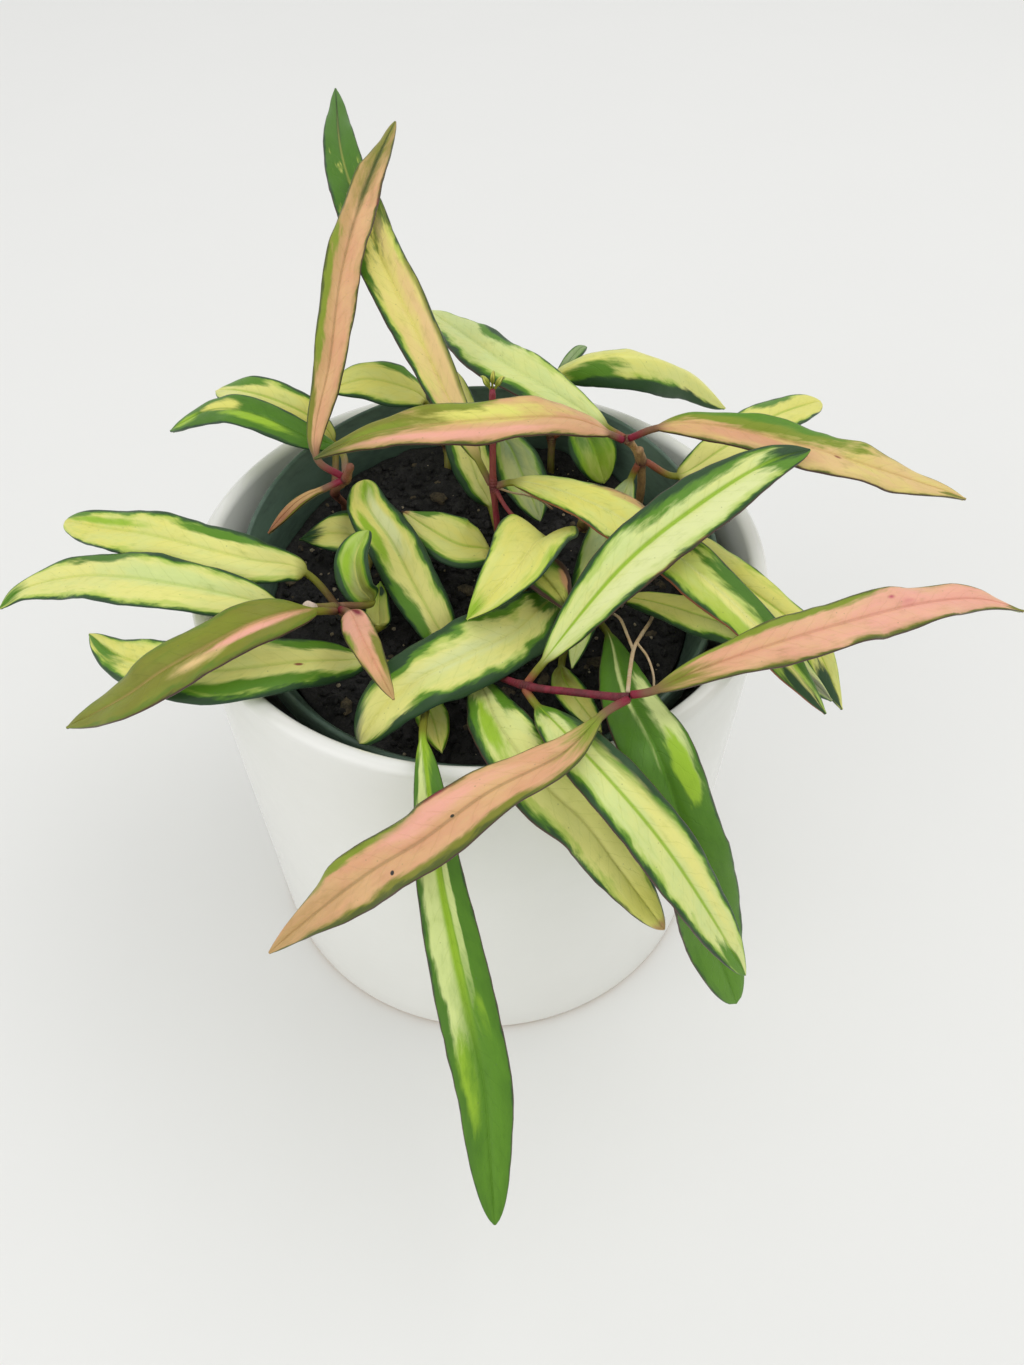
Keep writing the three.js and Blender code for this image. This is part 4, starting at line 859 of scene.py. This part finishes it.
# Meshes
def add_piece(name, points, faces, material, slot, node=None, smoothed=True, **attributes):
    """A mesh object from points in millimetres, on the plant's one body."""
    mesh = bpy.data.meshes.new(name)
    mesh.from_pydata((np.array([tuple(point) for point in points]) * MM).tolist(), [], faces)
    mesh.polygons.foreach_set("use_smooth", [smoothed] * len(mesh.polygons))
    for attribute_name, values in attributes.items():
        layer = mesh.attributes.new(attribute_name, "FLOAT", "POINT")
        layer.data.foreach_set("value", np.array(values, dtype=np.float32))
    mesh.materials.append(material)
    made = bpy.data.objects.new(name, mesh)
    bpy.context.collection.objects.link(made)
    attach(made, BODY)
    if node:
        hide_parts(node)
    return made


def ring_faces(rings, sides, closed=True):
    """Faces between rings of points, with a face over each end."""
    faces = []
    for ring in range(rings - 1):
        for side in range(sides):
            a, b = ring * sides + side, ring * sides + (side + 1) % sides
            faces.append((a, b, b + sides, a + sides))
    if closed:
        last = (rings - 1) * sides
        faces.append(tuple(reversed(range(sides))))
        faces.append(tuple(range(last, last + sides)))
    return faces


def spun_faces(rings, sides):
    """Faces of a form that runs from one point on its axis, through rings, to another."""
    faces = [tuple(index + 1 for index in face) for face in ring_faces(rings, sides, closed=False)]
    end = 1 + rings * sides
    last_ring = end - sides
    for side in range(sides):
        following = (side + 1) % sides
        faces.append((0, 1 + following, 1 + side))
        faces.append((end, last_ring + side, last_ring + following))
    return faces


def turned_form(name, profile, sides, material, slot, node, matrix=Matrix.Identity(4)):
    """A form turned about its own Z axis from a profile of (radius, height) whose ends are on the axis."""
    points = [Vector((0, 0, profile[0][1]))]
    for radius, height in profile[1:-1]:
        points += [Vector((x, y, height)) for x, y in circle(radius, sides)]
    points.append(Vector((0, 0, profile[-1][1])))
    faces = spun_faces(len(profile) - 2, sides)
    add_piece(name, [matrix @ point for point in points], faces, material, slot, node)


def arc(centre_radius, centre_height, size, start, end, steps):
    """Part of a circle in a profile, from one angle in degrees to another."""
    for step in range(steps + 1):
        angle = math.radians(start + (end - start) * step / steps)
        yield (centre_radius + size * math.cos(angle), centre_height + size * math.sin(angle))


def cover_pot():
    def outer(height):
        return POT_BASE_RADIUS + (POT_RIM_RADIUS - POT_BASE_RADIUS) * height / POT_HEIGHT

    below_lip = POT_HEIGHT - POT_LIP_BAND
    bevelled = below_lip + POT_LIP_BEVEL
    lip = POT_LIP / 2
    cove_top = POT_FLOOR + POT_COVE
    profile = [(0, POT_FOOT_RAISE), (POT_BASE_RADIUS - POT_FOOT_START, POT_FOOT_RAISE),
               (POT_BASE_RADIUS - POT_FOOT_END, 0)]
    profile += arc(POT_BASE_RADIUS - POT_FOOT_ROUND, POT_FOOT_ROUND, POT_FOOT_ROUND, -90, 0, 6)
    profile += [(outer(height), height) for height in (8, 30, 60, 90, below_lip - 3, below_lip)]
    profile += [(outer(bevelled) - 0.1, bevelled)]
    profile += arc(POT_RIM_RADIUS - lip, POT_HEIGHT - lip, lip, 0, 180, 14)
    inner_lip = outer(below_lip) - POT_WALL
    profile += [(inner_lip + 0.4, bevelled), (inner_lip, below_lip)]
    profile += [(outer(height) - POT_WALL, height) for height in (90, 60, 34)]
    profile += arc(outer(cove_top) - POT_WALL - POT_COVE, cove_top, POT_COVE, 0, -90, 10)
    profile.append((0, POT_FLOOR))
    turned_form("cover_pot", profile, POT_SIDES, glaze_material(), "glaze", "planter")


def inner_wall_radius(height):
    top, bottom = INNER_RIM_RADIUS - INNER_SHOULDER, INNER_BASE_RADIUS - INNER_WALL
    return top + (bottom - top) * (-height - INNER_BAND) / (INNER_HEIGHT - INNER_BAND)


def growing_pot():
    """The plastic pot, with its rim at height 0 of its own frame, folded out into a band."""
    material = weathered_material("growing_pot_plastic", "pot_green", "pot_dark", size=60, share=0.7,
                                  roughness=(0.36, 0.55), strength=0.15, depth=0.0003, stretch=(1, 1, 3))
    floor_top = -INNER_HEIGHT + INNER_FLOOR
    band = -INNER_BAND
    middle = -20
    rim = INNER_RIM_RADIUS
    profile = [(0, -INNER_HEIGHT), (INNER_BASE_RADIUS - 1, -INNER_HEIGHT),
               (INNER_BASE_RADIUS, -INNER_HEIGHT + 1), (inner_wall_radius(band - 1) + INNER_WALL, band - 1),
               (rim - 0.3, band - 0.1), (rim, band + 0.4)]
    profile += arc(rim - INNER_LIP, -INNER_LIP, INNER_LIP, 0, 180, 8)
    profile += [(rim - 1.8, -1.2), (inner_wall_radius(band) + 0.5, band + 1),
                (inner_wall_radius(band), band + 0.2), (inner_wall_radius(middle), middle),
                (inner_wall_radius(floor_top), floor_top), (0, floor_top)]
    turned_form("growing_pot", profile, INNER_SIDES, material, "plastic", "nursery_pot", INNER_FRAME)


def lumps(x, y):
    low = math.sin(0.31 * x + 1) * math.cos(0.27 * y)
    return SOIL_BUMP * (low + 0.6 * math.sin(0.63 * x - 0.5 * y))


def soil_noise(x, y, pitch, layer):
    """Noise over the mix's top: pitch says how fine it is, layer which sheet of the noise it reads."""
    return noise.noise(Vector((pitch * x, pitch * y, layer)))


def soil_height(x, y):
    """Height of the mix's crumbly top in the growing pot's own frame."""
    coarse = soil_noise(x, y, pitch=0.22, layer=3)
    fine = soil_noise(x, y, pitch=0.8, layer=9) + 0.6 * soil_noise(x, y, pitch=1.9, layer=5)
    return lumps(x, y) - SOIL_DROP + 0.9 * coarse + 0.55 * fine


def potting_mix():
    """The mix, from the growing pot's floor up its wall and inwards over its crumbly top."""
    base = -INNER_HEIGHT + 2
    points = [Vector((0, 0, base))]
    points += [Vector((x, y, base)) for x, y in circle(inner_wall_radius(base) - 0.4, SOIL_SIDES)]
    for ring in reversed(range(SOIL_RINGS)):
        radius = SOIL_RADIUS * (ring + 1) / SOIL_RINGS
        points += [Vector((x, y, soil_height(x, y))) for x, y in circle(radius, SOIL_SIDES)]
    points.append(Vector((0, 0, soil_height(0, 0))))
    tones = [0.5 + noise.noise(point * 0.5) for point in points]
    faces = spun_faces(SOIL_RINGS + 1, SOIL_SIDES)
    material = mix_material("potting_mix_crumb", "loam", "loam_dark", 420.0)
    placed = [INNER_FRAME @ point for point in points]
    add_piece("potting_mix", placed, faces, material, "mix", "soil", tone=tones)


# A crumb's twenty triangles
GOLDEN = (1 + math.sqrt(5)) / 2
CRUMB_POINTS = [Vector(corner).normalized() for corner in (
    (-1, GOLDEN, 0), (1, GOLDEN, 0), (-1, -GOLDEN, 0), (1, -GOLDEN, 0), (0, -1, GOLDEN), (0, 1, GOLDEN),
    (0, -1, -GOLDEN), (0, 1, -GOLDEN), (GOLDEN, 0, -1), (GOLDEN, 0, 1), (-GOLDEN, 0, -1), (-GOLDEN, 0, 1))]
CRUMB_FACES = [
    (0, 11, 5), (0, 5, 1), (0, 1, 7), (0, 7, 10), (0, 10, 11), (1, 5, 9), (5, 11, 4), (11, 10, 2),
    (10, 7, 6), (7, 1, 8), (3, 9, 4), (3, 4, 2), (3, 2, 6), (3, 6, 8), (3, 8, 9), (4, 9, 5), (2, 4, 11),
    (6, 2, 10), (8, 6, 7), (9, 8, 1)]


def crumbs(name, count, sizes, squash, material, seed):
    """Uneven lumps lying on the mix, with sizes from a range. squash: how long and how flat they are."""
    chance = random.Random(seed)
    length, flatness = squash
    points, faces, tones = [], [], []
    for _ in range(count):
        radius = CRUMB_SPREAD * math.sqrt(chance.random())
        angle = 2 * math.pi * chance.random()
        x, y = radius * math.cos(angle), radius * math.sin(angle)
        size = sizes[0] + (sizes[1] - sizes[0]) * chance.random() ** 2
        spin = Matrix.Rotation(2 * math.pi * chance.random(), 3, "Z")
        lean = Matrix.Rotation(chance.uniform(-0.5, 0.5), 3, "X")
        turn = spin @ lean
        shape = Vector((size * length, size, size * flatness))
        centre = Vector((x, y, soil_height(x, y) + 0.3 * shape.z))
        first = len(points)
        for corner in CRUMB_POINTS:
            uneven = Vector(c * s * chance.uniform(0.75, 1.2) for c, s in zip(corner, shape))
            points.append(INNER_FRAME @ (centre + turn @ uneven))
        faces += [tuple(first + index for index in face) for face in CRUMB_FACES]
        tones += [chance.random()] * len(CRUMB_POINTS)
    add_piece(name, points, faces, material, "mix", smoothed=False, tone=tones)


def tube(points, radii, sides):
    """Rings of a round tube along points, turned as little as possible from one to the next."""
    rings = []
    across = None
    for i, point in enumerate(points):
        along = (points[min(i + 1, len(points) - 1)] - points[max(i - 1, 0)]).normalized()
        if across is None:
            across = Vector((1, 0, 0)) if abs(along.x) < 0.9 else Vector((0, 1, 0))
        across = (across - along * across.dot(along)).normalized()
        other = along.cross(across)
        for side in range(sides):
            angle = 2 * math.pi * side / sides
            rings.append(point + radii[i] * (across * math.cos(angle) + other * math.sin(angle)))
    return rings, ring_faces(len(points), sides)


def shoot_points(path, radius, steps):
    """Points, radii and knot marks of a shoot that swells at its nodes and narrows at a free end."""
    far = 99.0
    places = [place(entry) for entry in path]
    nodes = [place(entry) for entry in path if isinstance(entry, str)]
    count = steps * (len(places) - 1)
    points = [curve_point(places, step / count) for step in range(count + 1)]
    radii, knots = [], []
    for point in points:
        nearest = min([far] + [(node - point).length for node in nodes])
        swell = 1 + (NODE_SWELL - 1) * math.exp(-((nearest / SWELL_REACH) ** 2))
        uneven = 1 + 0.08 * noise.noise(point * 0.6)
        radii.append(radius * SHOOT_SHARE * swell * uneven)
        knots.append(math.exp(-((nearest / KNOT_REACH) ** 2)))
    if not isinstance(path[-1], str):
        radii[-1] *= 0.7
    return points, radii, knots


def join_tubes(shoots, sides=14, steps=10):
    """Points, faces and knot marks of several shoots grown into one mesh."""
    points, faces, marks = [], [], []
    for entry in shoots:
        places, radii, knots = shoot_points(entry["path"], entry["radius"], steps)
        if "buried" in entry:
            places.insert(0, Vector(entry["buried"]))
            radii.insert(0, entry["radius"])
            knots.insert(0, 0.0)
        ring_points, ring_corners = tube(places, radii, sides)
        faces += [tuple(len(points) + index for index in face) for face in ring_corners]
        points += ring_points
        marks += [knot for knot in knots for _ in range(sides)]
    return points, faces, marks


def soil_level(y):
    top = INNER_FRAME @ Vector((0, 0, -SOIL_DROP))
    return top.z + (y - top.y) * math.tan(INNER_TILT)


def stems():
    for entry in STEMS:
        x, y = entry["foot"]
        ground = soil_level(y)
        main = dict(path=[(x, y, ground + 2), *entry["path"]], radius=entry["radius"],
                    buried=(x, y, ground - FOOT_DEPTH))
        points, faces, marks = join_tubes([main, *SHOOTS.get(entry["name"], ())])
        material = shoot_material(f"{entry['name']}_bark", entry["high"], entry["low"])
        add_piece(f"{entry['name']}_shoot", points, faces, material, "stem", entry["name"], knot=marks)


def aerial_roots():
    points, faces, _ = join_tubes(ROOTS, sides=10, steps=8)
    material = shoot_material("aerial_root_skin", "root", "tan")
    add_piece("aerial_roots", points, faces, material, "stem", knot=[0.0] * len(points))


def cut_end():
    """The pale face where the left shoot was cut back, from steps of (distance past the cut, radius)."""
    face = Vector(CUT_FACE)
    along = (face - place("left")).normalized()
    steps = [(-1.4, 0.9), (0, 1.25), (0.8, 1.45), (1.15, 1.3), (1.25, 0.95), (1.3, 0.5), (1.32, 0.15)]
    rings, faces = tube([face + along * past for past, _ in steps], [radius for _, radius in steps], 20)
    material = weathered_material("cut_wood_face", "cut_wood", "clay", size=900, share=0.5,
                                  roughness=(0.5, 0.7), strength=0.5, depth=0.0003)
    add_piece("cut_end", rings, faces, material, "stem")


# Leaf meshes. A section is drawn from the left margin to the right above, and back below.
TOP_ACROSS = [-1, -0.992, -0.97, -0.93, -0.86, -0.76, -0.64, -0.5, -0.36, -0.24, -0.14, -0.07, -0.03, 0]
TOP_ACROSS += [-x for x in reversed(TOP_ACROSS[:-1])]
ACROSS = TOP_ACROSS + TOP_ACROSS[-2:0:-1]
IS_UNDER = [False] * len(TOP_ACROSS) + [True] * (len(TOP_ACROSS) - 2)


def node_shape(name):
    """The direction and radius of the shoot at one of its nodes."""
    every = STEMS + [shoot for shoots in SHOOTS.values() for shoot in shoots]
    grown = [shoot for shoot in every if name in shoot["path"]]
    path = grown[0]["path"]
    at = path.index(name)
    along = (place(path[min(at + 1, len(path) - 1)]) - place(path[max(at - 1, 0)])).normalized()
    return along, NODE_SWELL * max(shoot["radius"] for shoot in grown)


def petiole_foot(leaf):
    if "foot" in leaf:
        return Vector(leaf["foot"])
    node = place(leaf["node"])
    along, radius = node_shape(leaf["node"])
    to_blade = Vector(leaf["spine"][0]) - node
    outward = (to_blade - 0.85 * to_blade.dot(along) * along).normalized()
    return node + outward * 0.6 * radius


def ripple_phases(seed):
    """Two angles that set where the ripples of a leaf's left and right margins start."""
    multiplier, increment, modulus = 1664525, 1013904223, 2 ** 32
    state = seed + 11
    phases = []
    for _ in range(2):
        state = (state * multiplier + increment) % modulus
        phases.append(2 * math.pi * state / modulus)
    return phases


def outline(share, full, widest):
    """Half width of a blade at a share of its length, as a share of its widest."""
    rising = (share / widest) ** widest
    falling = ((1 - share) / (1 - widest)) ** (1 - widest)
    return (rising * falling) ** (1.5 - 0.9 * full)


def blade_stations(points):
    """Shares of a blade's length with their places on the curve, from the petiole's foot, and its length."""
    count, petiole_share = 240, 0.2
    start = 1 / (len(points) - 1)
    samples = [start + (1 - start) * i / count for i in range(count + 1)]
    places = [curve_point(points, t) for t in samples]
    steps = [(b - a).length for a, b in zip(places, places[1:])]
    reached = np.concatenate([[0], np.cumsum(steps)])
    stations = [(-petiole_share + petiole_share * i / PETIOLE_RINGS, start * i / PETIOLE_RINGS)
                for i in range(PETIOLE_RINGS)]
    for i in range(BLADE_RINGS + 1):
        even = i / BLADE_RINGS
        share = 0.6 * even + 0.4 * (0.5 - 0.5 * math.cos(math.pi * even))
        stations.append((share, float(np.interp(share * reached[-1], reached, samples))))
    return stations, float(reached[-1])


def leaf_mesh(leaf, seed):
    """Points, faces, leaf coordinates and underside marks of a petiole and its blade, and its length."""
    curve = [petiole_foot(leaf), *[Vector(entry) for entry in leaf["spine"]]]
    stations, length = blade_stations(curve)
    phases = ripple_phases(seed)
    ripples = max(1, length / RIPPLE_LENGTH)
    petiole = leaf["petiole"]
    roll_low, roll_high = leaf["roll"]
    fold = math.tan(math.radians(leaf["fold"]))
    points, drawn, under = [], [], []
    for share, t in stations:
        on_blade = max(share, 0)
        centre, along = curve_point(curve, t), curve_direction(curve, t)
        turn = math.radians(roll_low + (roll_high - roll_low) * on_blade)
        up = (SKYWARD - along * SKYWARD.dot(along)).normalized()
        up = Matrix.Rotation(turn, 3, along) @ up
        side = along.cross(up)
        blade = smooth(share, -0.02, 0.12)
        tip = smooth(share, 0.93, 1)
        width = leaf["width"] / 2 * outline(on_blade, leaf["full"], leaf["widest"])
        width *= 1 - leaf["point"] * smooth(share, 0.72, 1)
        half = max(width, petiole * (1 if share < 0.5 else 0.35))
        rise = fold * half * blade
        strength = leaf["wave"] * blade * math.sin(math.pi * min(on_blade, 1)) ** 0.7
        for x, below in zip(ACROSS, IS_UNDER):
            out = abs(x)
            ripple = math.sin(2 * math.pi * ripples * share + phases[1 if x > 0 else 0])
            wander = noise.noise(Vector((share * length * 0.16, 5 if x > 0 else -5, seed * 3.1)))
            middle = rise * out + strength * (ripple + 0.8 * wander) * out ** 1.6
            middle += blade * half * (0.07 * math.sin(math.pi * out ** 0.8) - 0.09 * out ** 6)
            rounded = math.sqrt(max(0, 1 - max(0, (out - 0.9) / 0.1) ** 2))
            flat = (BLADE_EDGE + (BLADE_MIDDLE - BLADE_EDGE) * (1 - out)) * rounded * (1 - 0.5 * tip)
            flat *= leaf["thin"]
            round_part = 2 * petiole * math.sqrt(max(0, 1 - out ** 2))
            thick = round_part + (flat - round_part) * blade
            if below:
                height = middle - 0.55 * thick - KEEL * math.exp(-((x / 0.09) ** 2)) * blade
            else:
                height = middle + 0.45 * thick - GROOVE * math.exp(-((x / 0.08) ** 2)) * blade * (1 - tip)
            edge_wander = 1 + 0.035 * blade * noise.noise(Vector((share * length * 0.3, x * 2, seed * 1.7)))
            points.append(centre + side * (x * half * edge_wander) + up * height)
            drawn.append((share, (x + 1) / 2))
            under.append(1.0 if below else 0.0)
    return points, ring_faces(len(stations), len(ACROSS)), drawn, under, length


def add_leaf(leaf, seed):
    points, faces, drawn, under, length = leaf_mesh(leaf, seed)
    name = leaf["name"]
    node = None if leaf["added"] else f"leaf_{name}"
    material = leaf_material(leaf, length, seed)
    made = add_piece(f"{name}_leaf", points, faces, material, f"leaf_{leaf['kind']}", node, under=under)
    layer = made.data.uv_layers.new(name="Leaf")
    corners = np.empty(len(made.data.loops), dtype=np.int32)
    made.data.loops.foreach_get("vertex_index", corners)
    layer.data.foreach_set("uv", np.array(drawn, dtype=np.float32)[corners].ravel())


# Stage
def floor():
    material, board, surface = new_material("floor_paper")
    worn = weathered(board, "paper", "paper_shade", Size=3.0, Share=0.3)
    set_surface(board, surface, worn["Colour"], 0.9)
    mesh = bpy.data.meshes.new("floor")
    corners = [(x * FLOOR_REACH, y * FLOOR_REACH, 0) for x, y in ((-1, -1), (1, -1), (1, 1), (-1, 1))]
    mesh.from_pydata(corners, [], [(0, 1, 2, 3)])
    mesh.materials.append(material)
    made = bpy.data.objects.new("floor", mesh)
    bpy.context.collection.objects.link(made)


def aimed(data, location, direction):
    """An object for a camera or a light at a place, looking in a direction."""
    made = bpy.data.objects.new(data.name, data)
    made.location = location
    made.rotation_mode = "QUATERNION"
    made.rotation_quaternion = direction.to_track_quat("-Z", "Y")
    bpy.context.collection.objects.link(made)
    return made


def camera():
    data = bpy.data.cameras.new("camera")
    data.sensor_width = SENSOR
    data.lens = FOCAL_PIXELS / FRAME_HEIGHT * SENSOR
    data.clip_start = 0.01
    bpy.context.scene.camera = aimed(data, CAMERA_AT * MM, CAMERA_AIM - CAMERA_AT)


def lighting():
    """An even sky and two square soft boxes."""
    world = bpy.data.worlds.new("studio")
    world.use_nodes = True
    sky = next(node for node in world.node_tree.nodes if node.type == "BACKGROUND")
    sky.inputs["Color"].default_value = SKY_COLOUR
    sky.inputs["Strength"].default_value = SKY_STRENGTH
    bpy.context.scene.world = world
    for light in LIGHTS:
        data = bpy.data.lights.new(light["name"], "AREA")
        data.size = light["size"]
        data.energy = light["power"]
        aimed(data, light["place"], LIGHT_AIM - Vector(light["place"]))
    bpy.context.scene.view_settings.view_transform = "Standard"


camera()
lighting()
floor()
cover_pot()
growing_pot()
potting_mix()
dark_crumb = mix_material("dark_crumb", "loam", "loam_dark", 420.0)
bark_crumb = mix_material("bark_crumb", "bark_chip", "loam", 600.0)
pale_grit = mix_material("pale_grit", "grit", "grit_shade", 900.0)
crumbs("fine_crumbs", 2200, (0.3, 1.2), (1.3, 0.8), dark_crumb, seed=3)
crumbs("bark_chips", 70, (0.5, 1.9), (1.6, 0.45), bark_crumb, seed=5)
crumbs("pale_grains", 230, (0.14, 0.6), (1.1, 0.9), pale_grit, seed=8)
stems()
aerial_roots()
cut_end()
for number, row in enumerate(LEAVES):
    add_leaf(row, number)
